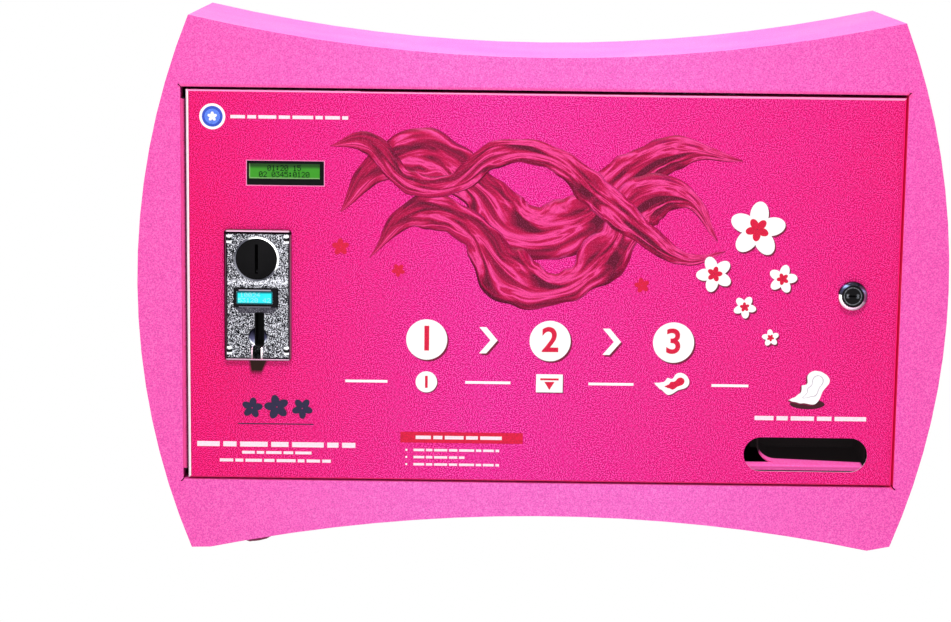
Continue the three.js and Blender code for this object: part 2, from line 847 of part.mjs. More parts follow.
function hingeLeaf(side, parity) {
  const outer = (side * hingeGap) / 2;
  const inner = outer - side * leafThickness;
  let leaf = block(Math.min(outer, inner), Math.max(outer, inner), 0, leafReach, 0, hingeLength);
  for (let knuckle = 0; knuckle < hingeKnuckles; knuckle++) {
    const low = knuckle * knucklePitch;
    const high = low + knucklePitch;
    if (knuckle % 2 === parity) {
      leaf = leaf.add(rodZ(knuckleRadius, low + knuckleGap / 2, high - knuckleGap / 2, 0, 0, smallSteps));
    } else {
      const reach = knuckleRadius + knuckleGap;
      leaf = leaf.subtract(block(-reach, reach, -reach, reach,
        low - knuckleGap / 2, high + knuckleGap / 2));
    }
  }
  return leaf.subtract(rodZ(knuckleBore, -overrun, hingeLength + overrun, 0, 0, smallSteps));
}

function hingePin() {
  const end = knuckleGap + hingePinHead;
  const shank = rodZ(hingePinRadius, -end, hingeLength + end, 0, 0, smallSteps);
  const heads = [-end, hingeLength + knuckleGap]
    .map((z) => rodZ(hingePinHeadRadius, z, z + hingePinHead, 0, 0, smallSteps));
  return join(shank, ...heads);
}

addPiece(hinge, 'hinge_frame_leaf', hingeLeaf(-1, 0), pinkPaint);
addPiece(hinge, 'hinge_door_leaf', hingeLeaf(1, 1), pinkPaint);
addPiece(hinge, 'hinge_pin', hingePin(), stainless);

// Cam lock, about its own axis, from the printed face inwards; at rest the cam hangs unlocked
const skinBack = graphicThickness + sheet;
const lock = subassembly(door, lockX, -graphicThickness, lockZ);
const camFront = lockBarrelLength + camProud;

function lockBody() {
  const floor = -lockBezelHeight + lockRecessDepth;
  const lipRadius = lockBezelRadius - lockBezelRound;
  const profile = [
    [lockBoreRadius, floor], [lockRecessRadius, floor], [lockRecessRadius, -lockBezelHeight],
  ];
  for (let step = 0; step <= cornerSteps; step++) {
    const angle = (step / cornerSteps) * (Math.PI / 2);
    profile.push([lipRadius + lockBezelRound * Math.sin(angle),
      -lockBezelHeight + lockBezelRound * (1 - Math.cos(angle))]);
  }
  profile.push([lockBezelRadius, 0], [lockBarrelRadius, 0], [lockBarrelRadius, lockBarrelLength],
    [lockBoreRadius, lockBarrelLength], [lockBoreRadius, floor]);
  return turned(profile, fineSteps);
}

function lockPlug() {
  const floor = -lockBezelHeight + lockRecessDepth - lockRunGap;
  const face = -lockBezelHeight + plugFaceInset;
  const faceRadius = lockRecessRadius - lockRunGap;
  const shaft = lockBoreRadius - lockRunGap;
  const body = turned([
    [0, face], [faceRadius - plugRimWidth, face], [faceRadius - plugRimWidth, face - plugRimHeight],
    [faceRadius, face - plugRimHeight], [faceRadius, floor],
    [shaft, floor], [shaft, camFront], [0, camFront],
  ], fineSteps);
  const keySlot = block(-keySlotLength / 2, keySlotLength / 2, face - overrun, face + keySlotDepth,
    -keySlotWidth / 2, keySlotWidth / 2);
  const thread = rodY(camScrewRadius + fitGap, camFront - camScrewDepth, camFront + overrun,
    0, 0, smallSteps);
  return cut(body, keySlot, thread);
}

function lockNut() {
  const nut = facing(hexagon(lockNutFlats), skinBack, skinBack + lockNutThickness);
  return cut(nut, rodY(lockBarrelRadius + fitGap, 0, skinBack + lockNutThickness + overrun));
}

function lockCam() {
  const bar = linkBar([0, 0], [0, -camReach], camHubRadius, camTipRadius,
    camFront, camFront + camThickness);
  return cut(bar, rodY(camScrewRadius + fitGap, camFront - overrun, camFront + camThickness + overrun,
    0, 0, smallSteps));
}

function camScrew() {
  const seat = camFront + camThickness;
  const shank = rodY(camScrewRadius, seat - camThickness - camScrewDepth + fitGap,
    seat + camScrewHeadHeight / 2, 0, 0, smallSteps);
  const head = rodY(camScrewHeadRadius, seat, seat + camScrewHeadHeight);
  const slot = block(-camScrewHeadRadius, camScrewHeadRadius, seat + camScrewHeadHeight / 2,
    seat + camScrewHeadHeight + overrun, -camScrewSlot / 2, camScrewSlot / 2);
  return cut(join(shank, head), slot);
}

function lockKeeper() {
  const back = -cabinetDepth + camFront - keeperCamGap;
  const legIn = openingRight + sheet + fitGap;
  const low = lockZ - keeperWidth / 2;
  const high = lockZ + keeperWidth / 2;
  const plate = block(legIn + sheet - keeperReach - sheet, legIn + sheet, back - sheet, back, low, high);
  const leg = block(legIn, legIn + sheet, back - keeperLeg, back, low, high);
  return join(plate, leg);
}

addPiece(lock, 'lock_body', lockBody(), chrome);
addPiece(lock, 'lock_plug', lockPlug(), blackPlastic);
addPiece(lock, 'lock_nut', lockNut(), stainless);
addPiece(lock, 'lock_cam', lockCam(), stainless);
addPiece(lock, 'cam_screw', camScrew(), stainless);
addPiece(machine, 'lock_keeper', lockKeeper(), galvanised);

// Stock display
const display = subassembly(door, displayX, displayRecess, displayZ);

function displayWindow(gap) {
  return {
    left: -displayWidth / 2 + displayLeftFrame + gap,
    right: displayWidth / 2 - displayRightFrame - gap,
    low: -displayHeight / 2 + displayBottomFrame + gap,
    high: displayHeight / 2 - displayTopFrame - gap,
  };
}

function displayBezel() {
  const { left, right, low, high } = displayWindow(0);
  const frame = block(-displayWidth / 2, displayWidth / 2, 0, displayDepth,
    -displayHeight / 2, displayHeight / 2);
  return cut(frame, block(left, right, -overrun, displayDepth + overrun, low, high));
}

function displayGlass() {
  const { left, right, low, high } = displayWindow(fitGap);
  return block(left, right, displayGlassRecess, displayDepth, low, high);
}

function displayBoard() {
  const back = displayDepth + boardThickness;
  const halfWidth = displayBoardWidth / 2;
  const halfHeight = displayBoardHeight / 2;
  const board = block(-halfWidth, halfWidth, displayDepth, back, -halfHeight, halfHeight);
  const inBoard = displayDepth + boardThickness / 2;
  const headerLeft = -halfWidth + 2 * displayStudInset;
  const header = block(headerLeft, headerLeft + headerLength, inBoard, back + headerSize,
    halfHeight - 2 * headerSize, halfHeight - headerSize);
  const drivers = [-driverSpacing / 2, driverSpacing / 2]
    .map((x) => rodY(driverRadius, inBoard, back + driverHeight, x, -driverRadius, smallSteps));
  return join(board, header, ...drivers);
}

addPiece(display, 'display_bezel', displayBezel(), blackPlastic);
addPiece(display, 'display_glass', displayGlass(), greenGlass);
addPiece(display, 'display_board', displayBoard(), circuitGreen);

// Coin acceptor, from the printed face: y is negative in front of the door
const coin = subassembly(door, coinX, -graphicThickness, coinZ);
const fieldY = -faceplateThickness + faceplateRecess;

function faceplate() {
  const halfWidth = faceplateWidth / 2;
  const halfHeight = faceplateHeight / 2;
  const bevel = faceplateBevel;
  const blank = new THREE.ExtrudeGeometry(
    roundedRectangle(-halfWidth + bevel, halfWidth - bevel,
      -halfHeight + bevel, halfHeight - bevel, faceplateCorner),
    { depth: faceplateThickness, bevelThickness: bevel, bevelSize: bevel, bevelSegments: bendSteps,
      curveSegments: cornerSteps },
  );
  const rounded = toSolid(blank.applyMatrix4(facingView).translate(0, bevel, 0));
  const plate = cut(rounded, block(-faceplateWidth, faceplateWidth, 0, 2 * bevel + overrun,
    -faceplateHeight, faceplateHeight));
  const field = roundedRectangle(-halfWidth + faceplateRim, halfWidth - faceplateRim,
    -halfHeight + faceplateRim, halfHeight - faceplateRim, faceplateCorner / 2);
  const holeRadius = releaseRadius + releaseGap;
  const ring = rodY(holeRadius + releaseRingWidth, fieldY - releaseRingHeight, fieldY / 2,
    releaseAside, releaseAbove, fineSteps);
  const sphereRadius = (scoopRadius ** 2 + scoopDepth ** 2) / (2 * scoopDepth);
  const scoop = new THREE.SphereGeometry(sphereRadius, fineSteps, smallSteps);
  const holes = boltPlaces()
    .map(([x, z]) => rodY(boltHoleRadius, -faceplateThickness - overrun, overrun, x, z, hiddenSteps));
  return cut(
    join(cut(plate, facing(field, -faceplateThickness - overrun, fieldY)), ring),
    rodY(holeRadius, -faceplateThickness - overrun, overrun, releaseAside, releaseAbove, fineSteps),
    returnSlot(returnWall + fitGap, -faceplateThickness - overrun, overrun),
    toSolid(scoop.translate(0, fieldY + scoopDepth - sphereRadius, scoopAbove)),
    ...holes,
  );
}

function returnSlot(margin, yFront, yBack) {
  const halfWidth = returnWidth / 2 + margin;
  const halfHeight = returnHeight / 2 + margin;
  const slot = roundedRectangle(returnAside - halfWidth, returnAside + halfWidth,
    returnAbove - halfHeight, returnAbove + halfHeight, returnWall + margin);
  return facing(slot, yFront, yBack);
}

function returnChannel() {
  const front = fieldY + scoopDepth;
  const hollow = returnSlot(0, front - overrun, returnDepth - returnWall);
  return cut(returnSlot(returnWall, front, returnDepth), hollow);
}

function returnLip() {
  const nose = fieldY - lipReach;
  const low = lipAbove - lipHeight / 2;
  const high = lipAbove + lipHeight / 2;
  const side = new THREE.Shape();
  side.moveTo(fieldY, low);
  side.lineTo(fieldY, high);
  side.lineTo(nose + lipNose, high);
  side.quadraticCurveTo(nose, high, nose, high - lipNose);
  side.lineTo(nose, low + lipNose);
  side.quadraticCurveTo(nose, low, nose + lipNose, low);
  const cheeks = across(side, -lipWidth / 2, lipWidth / 2, smallSteps);
  const inside = new THREE.Shape();
  inside.moveTo(fieldY, low + lipWall);
  inside.lineTo(fieldY, high + overrun);
  inside.lineTo(nose - overrun, high + overrun);
  inside.lineTo(nose - overrun, low + lipNose);
  inside.lineTo(nose + lipWall, low + lipNose);
  inside.quadraticCurveTo(nose + lipWall, low + lipWall, nose + lipNose, low + lipWall);
  return cut(cheeks, across(inside, -lipWidth / 2 + lipWall, lipWidth / 2 - lipWall, smallSteps));
}

function windowBezel() {
  const halfWidth = windowWidth / 2;
  const halfHeight = windowHeight / 2;
  const blank = new THREE.ExtrudeGeometry(
    rectangle(-halfWidth + windowBevel, halfWidth - windowBevel,
      -halfHeight + windowBevel, halfHeight - windowBevel),
    { depth: windowProud, bevelThickness: windowBevel, bevelSize: windowBevel, bevelSegments: 2 },
  );
  const rounded = toSolid(blank.applyMatrix4(facingView).translate(0, windowBevel, 0));
  const frame = cut(rounded, block(-windowWidth, windowWidth, 0, 2 * windowBevel + overrun,
    -windowHeight, windowHeight));
  return cut(frame, windowLensShape(fitGap, -windowProud - overrun, overrun));
}

function windowLensShape(margin, yFront, yBack) {
  const halfWidth = windowLensWidth / 2 + margin;
  const halfHeight = windowLensHeight / 2 + margin;
  const shape = roundedRectangle(windowLensAside - halfWidth, windowLensAside + halfWidth,
    -halfHeight, halfHeight, windowCorner);
  return facing(shape, yFront, yBack);
}

// The release disc holds the coin slot and is pushed in to free a stuck coin
function releaseButton() {
  const rim = fieldY - releaseRingHeight - releaseProud + releaseDome;
  const crown = rim - releaseDome;
  const domeRadius = (releaseRadius ** 2 + releaseDome ** 2) / (2 * releaseDome);
  const profile = [];
  for (let step = 0; step <= cornerSteps; step++) {
    const radius = (releaseRadius * step) / cornerSteps;
    profile.push([radius, crown + domeRadius - Math.sqrt(domeRadius ** 2 - radius ** 2)]);
  }
  profile.push([releaseRadius, releaseBack], [0, releaseBack]);
  const slot = block(-coinSlotWidth / 2, coinSlotWidth / 2, crown - overrun, releaseBack + overrun,
    -coinSlotHeight / 2, coinSlotHeight / 2);
  return cut(turned(profile, fineSteps), slot);
}

function acceptorBody() {
  const halfWidth = acceptorWidth / 2;
  const halfHeight = acceptorHeight / 2;
  const section = outline([
    [0, -halfHeight], [acceptorShoulder, -halfHeight], [acceptorDepth, -halfHeight + acceptorBottomSlope],
    [acceptorDepth, halfHeight - acceptorTopSlope], [acceptorShoulder, halfHeight], [0, halfHeight],
  ]);
  const ribs = [];
  const ribPitch = (acceptorHeight - acceptorTopSlope - acceptorBottomSlope) / (acceptorRibs + 1);
  for (let rib = 1; rib <= acceptorRibs; rib++) {
    const z = -halfHeight + acceptorBottomSlope + rib * ribPitch;
    ribs.push(block(halfWidth - acceptorRibHeight, halfWidth + acceptorRibHeight, acceptorShoulder,
      acceptorDepth - acceptorRibWidth, z, z + acceptorRibWidth));
  }
  const plug = block(-acceptorPlugWidth / 2, acceptorPlugWidth / 2, acceptorDepth - acceptorRibWidth,
    acceptorDepth + acceptorPlugDepth, -acceptorPlugHeight / 2, acceptorPlugHeight / 2);
  const pocketDepth = releaseBack + releaseTravel + releaseEndGap;
  return cut(
    join(across(section, -halfWidth, halfWidth), ...ribs, plug),
    rodY(releaseRadius + releaseGap, -overrun, pocketDepth, releaseAside, releaseAbove, fineSteps),
    block(releaseAside - coinSlotWidth / 2 - fitGap, releaseAside + coinSlotWidth / 2 + fitGap,
      0, pocketDepth + coinSlotDepth,
      releaseAbove - coinSlotHeight / 2, releaseAbove + coinSlotHeight / 2),
    returnSlot(returnWall + fitGap, -overrun, returnDepth + fitGap),
  );
}

function domedBolt() {
  const headSphere = (boltHeadRadius ** 2 + boltHeadHeight ** 2) / (2 * boltHeadHeight);
  const profile = [];
  for (let step = 0; step <= cornerSteps; step++) {
    const radius = (boltHeadRadius * step) / cornerSteps;
    profile.push([radius, fieldY - boltHeadHeight + headSphere - Math.sqrt(headSphere ** 2 - radius ** 2)]);
  }
  const end = skinBack + pressNutLength;
  profile.push([boltShankRadius, fieldY], [boltShankRadius, end], [0, end]);
  return turned(profile, smallSteps);
}

addPiece(coin, 'coin_faceplate', faceplate(), hammered);
addPiece(coin, 'coin_return_channel', returnChannel(), blackPlastic);
addPiece(coin, 'coin_return_lip', returnLip(), chrome);
addPiece(coin, 'coin_acceptor_body', acceptorBody(), darkPlastic);
const release = subassembly(coin, releaseAside, 0, releaseAbove);
addPiece(release, 'coin_release_button', releaseButton(), blackPlastic);
const coinWindow = subassembly(coin, windowAside, fieldY, windowAbove);
addPiece(coinWindow, 'coin_window_bezel', windowBezel(), blackPlastic);
addPiece(coinWindow, 'coin_window_lens', windowLensShape(0, -windowProud + windowLensRecess, 0), cyanLens);
boltPlaces().forEach(([x, z], i) => {
  const bolt = addPiece(coin, `faceplate_bolt_${i + 1}`, domedBolt(), chrome);
  bolt.position.set(x, 0, z);
});

// Delivery chute and tray behind the slot, below the end of the magazine shelf
const trayFloor = slotZ - slotHeight / 2 + trayFloorRise;
const shelfTop = trayFloor + shelfAboveTray;
const chuteRight = slotX + slotWidth / 2 + apronSpread - fitGap;
const chuteLeft = chuteRight - napkinWidth - 2 * napkinSideGap - 2 * chuteSheet;
const apronFront = insideFront + sheet + apronFrontGap;
const chuteFront = apronFront + apronDepth;
const chuteBack = chuteFront + chuteDepth;
const chuteTop = shelfTop - chuteWallTop;

// Open trough drawn in x and z: wide round on the left, tight round on the right
function chuteTrough() {
  const floor = trayFloor - chuteSheet;
  const shape = new THREE.Shape();
  shape.moveTo(chuteLeft, chuteTop);
  shape.lineTo(chuteLeft, floor + trayLeftRound);
  shape.absarc(chuteLeft + trayLeftRound, floor + trayLeftRound, trayLeftRound, Math.PI, 1.5 * Math.PI);
  shape.lineTo(chuteRight - trayRightRound, floor);
  shape.absarc(chuteRight - trayRightRound, floor + trayRightRound, trayRightRound, -Math.PI / 2, 0);
  shape.lineTo(chuteRight, chuteTop + chuteRightRise);
  shape.lineTo(chuteRight - chuteSheet, chuteTop + chuteRightRise);
  shape.lineTo(chuteRight - chuteSheet, floor + trayRightRound);
  shape.absarc(chuteRight - trayRightRound, floor + trayRightRound, trayRightRound - chuteSheet,
    0, -Math.PI / 2, true);
  shape.lineTo(chuteLeft + trayLeftRound, trayFloor);
  shape.absarc(chuteLeft + trayLeftRound, floor + trayLeftRound, trayLeftRound - chuteSheet,
    1.5 * Math.PI, Math.PI, true);
  shape.lineTo(chuteLeft + chuteSheet, chuteTop);
  return facing(shape, chuteFront, chuteBack, chuteRoundSteps);
}

function chuteTray() {
  const apron = block(slotX - slotWidth / 2 - apronSpread, slotX + slotWidth / 2 + apronSpread, apronFront,
    chuteFront + chuteSheet, trayFloor - chuteSheet, trayFloor);
  const rampFoot = chuteBack - rampRun;
  const ramp = across(outline([
    [rampFoot, trayFloor - chuteSheet], [rampFoot, trayFloor], [chuteBack - chuteSheet, chuteTop],
    [insideBack, chuteTop], [insideBack, chuteTop - chuteFoot],
    [insideBack - chuteSheet, chuteTop - chuteFoot],
    [insideBack - chuteSheet, chuteTop - chuteSheet], [chuteBack, chuteTop - chuteSheet],
  ]), chuteLeft + chuteSheet / 2, chuteRight - chuteSheet / 2);
  const armLeft = (chuteLeft + chuteRight - chuteArmWidth) / 2;
  const besideArm = [[chuteLeft - overrun, armLeft], [armLeft + chuteArmWidth, chuteRight + overrun]]
    .map(([x0, x1]) => block(x0, x1, chuteBack, overrun,
      chuteTop - chuteFoot - overrun, chuteTop + overrun));
  return cut(join(chuteTrough(), ramp, apron), ...besideArm);
}

addPiece(machine, 'chute_tray', chuteTray(), pinkPaint);

// Napkin magazine, from the front left corner of the stack on the shelf
const magazineWidth = napkinWidth + 2 * napkinSideGap;
const magazineDepth = napkinDepth + 2 * napkinSideGap;
const magazineX = chuteLeft - magazineToChute - magazineSheet - magazineWidth;
const magazineY = -cabinetDepth + magazineSetback;
const magazine = subassembly(machine, magazineX, magazineY, shelfTop);
const magazineWallBack = insideBack - magazineY;
const magazineHeight = openingTop - magazineTopGap - shelfTop;

function magazineShelf() {
  const left = -shelfLeft;
  const right = magazineWidth + magazineSheet;
  const rear = magazineDepth + magazineSheet;
  const plate = block(left, right, -magazineSheet, rear, -magazineSheet, 0);
  const flange = block(-magazineSheet, right, -magazineSheet, 0, -magazineSheet, shelfFrontFlange);
  const arms = [[left, left + shelfArmWidth], [right - shelfArmWidth, right]].map(([x0, x1]) => join(
    block(x0, x1, 0, magazineWallBack, -magazineSheet, 0),
    block(x0, x1, magazineWallBack - magazineSheet, magazineWallBack, -shelfFoot, 0),
  ));
  return join(plate, flange, ...arms);
}

function magazineChannel() {
  const right = magazineWidth + magazineSheet;
  const rearBack = magazineDepth + magazineSheet;
  const rear = block(-magazineSheet, right, magazineDepth, rearBack, 0, magazineHeight);
  const sides = [-magazineSheet, magazineWidth].map((x) =>
    block(x, x + magazineSheet, -magazineSheet, rearBack, magazineExit, magazineHeight));
  const lips = [-magazineSheet, right - magazineLip].map((x) =>
    block(x, x + magazineLip, -magazineSheet, 0, shelfFrontFlange, magazineHeight));
  return join(rear, ...sides, ...lips);
}

// The follower rests on the shelf's front flange when the stack is gone
function stackFollower() {
  const low = shelfFrontFlange + slideGap;
  const high = low + followerThickness;
  const middle = magazineWidth / 2;
  const plate = block(followerGap, magazineWidth - followerGap,
    followerGap, magazineDepth - followerGap, low, high);
  const tab = block(middle - followerTabWidth / 2, middle + followerTabWidth / 2, -followerTabReach,
    followerGap + overrun, low, high);
  const lip = block(middle - followerTabWidth / 2, middle + followerTabWidth / 2, -followerTabReach,
    -followerTabReach + followerThickness, low, low + followerTabLip);
  const halfWidth = followerWeightWidth / 2;
  const halfDepth = followerWeightDepth / 2;
  const weight = upright(roundedRectangle(middle - halfWidth, middle + halfWidth,
    magazineDepth / 2 - halfDepth,
    magazineDepth / 2 + halfDepth, followerWeightCorner), low, high + followerWeightHeight);
  const knob = rodZ(followerHandleRadius, high, high + followerWeightHeight + followerHandleHeight, middle,
    magazineDepth / 2);
  return join(plate, tab, lip, weight, knob);
}

addPiece(magazine, 'magazine_shelf', magazineShelf(), galvanised);
addPiece(magazine, 'magazine_channel', magazineChannel(), galvanised);
addPiece(magazine, 'stack_follower', stackFollower(), stainless);

// Ejector blade: its front edge pushes the lowest napkin, its top holds the rest of the stack up
function ejectorBlade() {
  const right = -bladeRestGap;
  const left = right - bladeLength;
  const top = slideGap + bladeThickness;
  const front = bladeSideGap;
  const back = magazineDepth - napkinSideGap;
  const shell = block(left, right, front, back, slideGap, top);
  const hollow = block(left - overrun, right - bladeWall, front + bladeWall, back - bladeWall,
    slideGap - overrun, top - bladeWall);
  const tab = block(left, left + bladeTab, back - bladeWall, magazineDepth + rackGap + magazineSheet,
    slideGap, top);
  return join(cut(shell, hollow), tab);
}

// Rack and pinion share a module and a pressure angle, with backlash taken from both
const toothPitch = Math.PI * toothModule;
const pitchRadius = (toothModule * pinionTeeth) / 2;
const rackAddendum = rackAddendumShare * toothModule;
const pinionZ = rackPitchRise - pitchRadius;
const rackFront = magazineDepth + magazineSheet + rackGap;
const drive = subassembly(magazine, -pinionFromMagazine, rackFront, pinionZ);

function ejectorRack() {
  const rise = slideGap + bladeThickness - pinionZ;
  const tip = pitchRadius - rackAddendum;
  const root = pitchRadius + toothModule + rootClearance;
  const halfTooth = (toothPitch - backlash) / 4;
  const tipHalf = halfTooth - rackAddendum * Math.tan(pressureAngle);
  const rootHalf = halfTooth + (root - pitchRadius) * Math.tan(pressureAngle);
  const start = -(rackTeethLeft + 0.5) * toothPitch;
  const points = [[start - rackEndBlock, rise], [start - rackEndBlock, root]];
  for (let tooth = 0; tooth < rackTeeth; tooth++) {
    const middle = start + (tooth + 1) * toothPitch;
    points.push([middle - rootHalf, root], [middle - tipHalf, tip]);
    points.push([middle + tipHalf, tip], [middle + rootHalf, root]);
  }
  const end = points.at(-1)[0] + rackEndBlock;
  points.push([end, root], [end, rise]);
  return facing(outline(points), 0, rackWidth);
}

// Involute flank: the angle between the tooth's middle line and its flank at a radius
function toothHalfAngle(radius) {
  const involute = (angle) => Math.tan(angle) - angle;
  const baseRadius = pitchRadius * Math.cos(pressureAngle);
  const atRadius = Math.acos(Math.min(1, baseRadius / radius));
  const atPitch = (toothPitch - backlash) / 4 / pitchRadius;
  return atPitch + involute(pressureAngle) - involute(atRadius);
}

function drivePinion() {
  const baseRadius = pitchRadius * Math.cos(pressureAngle);
  const tip = pitchRadius + toothModule;
  const root = pitchRadius - rackAddendum - rootClearance;
  const points = [];
  for (let tooth = 0; tooth < pinionTeeth; tooth++) {
    const middle = Math.PI / 2 + (tooth * 2 * Math.PI) / pinionTeeth;
    const flank = [[root, toothHalfAngle(baseRadius)]];
    for (let step = 0; step <= flankSteps; step++) {
      const radius = baseRadius + ((tip - baseRadius) * step) / flankSteps;
      flank.push([radius, toothHalfAngle(radius)]);
    }
    for (const [radius, half] of flank) points.push([radius, middle - half]);
    for (const [radius, half] of flank.reverse()) points.push([radius, middle + half]);
  }
  const loop = points.map(([radius, angle]) => [radius * Math.cos(angle), radius * Math.sin(angle)]);
  const gear = facing(outline(loop),
    0, rackWidth);
  const hub = rodY(pinionHubRadius, rackWidth / 2, rackWidth + pinionHubLength);
  return cut(join(gear, hub), rodY(shaftBore, -overrun, rackWidth + pinionHubLength + overrun));
}

const gearboxFront = rackWidth + pinionHubLength + gearboxGap;
const gearboxBack = gearboxFront + gearboxDepth;
const gearboxTop = gearboxAbovePinion;
const gearboxBottom = gearboxTop - gearboxHeight;
const driveWallBack = magazineWallBack - rackFront;

function outputShaft() {
  return rodY(shaftRadius, -shaftProud, gearboxFront + shaftInGearbox);
}

function gearbox() {
  const half = gearboxWidth / 2;
  const housing = facing(roundedRectangle(-half, half, gearboxBottom, gearboxTop, gearboxCorner),
    gearboxFront, gearboxBack);
  const lid = facing(roundedRectangle(-half + gearboxLidInset, half - gearboxLidInset,
    gearboxBottom + gearboxLidInset, gearboxTop - gearboxLidInset, gearboxCorner),
    gearboxFront - gearboxLidHeight, gearboxFront + overrun);
  const boss = rodY(gearboxBossRadius, gearboxFront - gearboxLidHeight - gearboxBossHeight,
    gearboxFront + overrun);
  const bore = rodY(shaftBore, 0, gearboxFront + shaftInGearbox + fitGap);
  return cut(join(housing, lid, boss), bore);
}

function motorCan() {
  const middle = (gearboxFront + gearboxBack) / 2;
  const profile = [[0, 0], [motorRadius, 0]];
  for (let step = 0; step <= cornerSteps; step++) {
    const angle = (step / cornerSteps) * (Math.PI / 2);
    const radius = motorRadius - motorRound * (1 - Math.cos(angle));
    profile.push([radius, -motorLength + motorRound * (1 - Math.sin(angle))]);
  }
  profile.push([motorBossRadius, -motorLength], [motorBossRadius, -motorLength - motorBossHeight],
    [0, -motorLength - motorBossHeight]);
  const can = new THREE.LatheGeometry(profile.map(([radius, z]) => new THREE.Vector2(radius, z)), roundSteps);
  const body = toSolid(can.rotateX(Math.PI / 2).translate(0, middle, gearboxBottom));
  const tabs = [-1, 1].map((side) => {
    const x = side * (motorRadius + motorBossRadius) / 2;
    const low = gearboxBottom - motorLength - motorTabLength;
    return block(x - motorTabWidth / 2, x + motorTabWidth / 2, middle - motorTabThickness / 2,
      middle + motorTabThickness / 2, low, gearboxBottom - motorLength / 2);
  });
  return join(body, ...tabs);
}

// Hat bracket from the back panel to the rear of the gearbox
function motorBracket() {
  const half = bracketWidth / 2;
  const front = gearboxBack;
  const wall = driveWallBack;
  const section = outline([
    [-half, front], [half, front], [half, wall - bracketSheet], [half + bracketFoot, wall - bracketSheet],
    [half + bracketFoot, wall], [half - bracketSheet, wall], [half - bracketSheet, front + bracketSheet],
    [-half + bracketSheet, front + bracketSheet], [-half + bracketSheet, wall], [-half - bracketFoot, wall],
    [-half - bracketFoot, wall - bracketSheet], [-half, wall - bracketSheet],
  ]);
  const middle = (gearboxTop + gearboxBottom) / 2;
  return upright(section, middle - bracketHeight / 2, middle + bracketHeight / 2);
}

// The guide stands on the gearbox and keeps the rack down on the pinion
function rackGuide() {
  const low = gearboxTop;
  const rackTop = slideGap + bladeThickness - pinionZ;
  const front = -rackGap;
  const wallFront = rackWidth + slideGap;
  const section = outline([
    [wallFront, low], [gearboxBack - gearboxLidInset, low],
    [gearboxBack - gearboxLidInset, low + guideBase],
    [wallFront + guideWall, low + guideBase], [wallFront + guideWall, rackTop + slideGap + guideTop],
    [front, rackTop + slideGap + guideTop], [front, rackTop + slideGap], [wallFront, rackTop + slideGap],
  ]);
  return across(section, -guideWidth / 2, guideWidth / 2);
}

addPiece(magazine, 'ejector_blade', ejectorBlade(), stainless);
addPiece(drive, 'ejector_rack', ejectorRack(), whitePlastic);
addPiece(drive, 'drive_pinion', drivePinion(), whitePlastic);
addPiece(drive, 'output_shaft', outputShaft(), stainless);
addPiece(drive, 'gearbox', gearbox(), castAlloy);
addPiece(drive, 'motor_can', motorCan(), motorSteel);
addPiece(drive, 'motor_bracket', motorBracket(), galvanised);
addPiece(drive, 'rack_guide', rackGuide(), whitePlastic);

// Home switch on the shelf: the blade's tail presses its lever at the end of the return stroke
function homeSwitch() {
  const bladeLeft = -bladeRestGap - bladeLength;
  const right = bladeLeft - switchGap;
  const front = magazineDepth / 2;
  const body = block(right - switchThickness, right, front, front + switchLength, 0, switchHeight);
  const leverTop = switchHeight - 2 * switchLeverThickness;
  const arm = outline([
    [right - switchLeverThickness, front + switchLeverThickness], [right, front + switchLeverThickness],
    [right + switchLeverReach, front + switchLength],
    [right + switchLeverReach - switchLeverThickness, front + switchLength],
  ]);
  const lever = upright(arm, leverTop - switchLeverWidth, leverTop);
  const pinPitch = switchLength / 4;
  const pinBack = right - switchThickness;
  const pins = [1, 2, 3].map((n) => block(pinBack - switchPinLength, pinBack + switchLeverThickness,
    front + n * pinPitch, front + n * pinPitch + switchLeverThickness, switchHeight / 3, switchHeight / 2));
  return join(body, lever, ...pins);
}

addPiece(magazine, 'home_switch', homeSwitch(), darkPlastic);

// Control board on standoffs, from its lower left corner on the back panel
const control = subassembly(machine, controlLeft, insideBack, controlAbove);

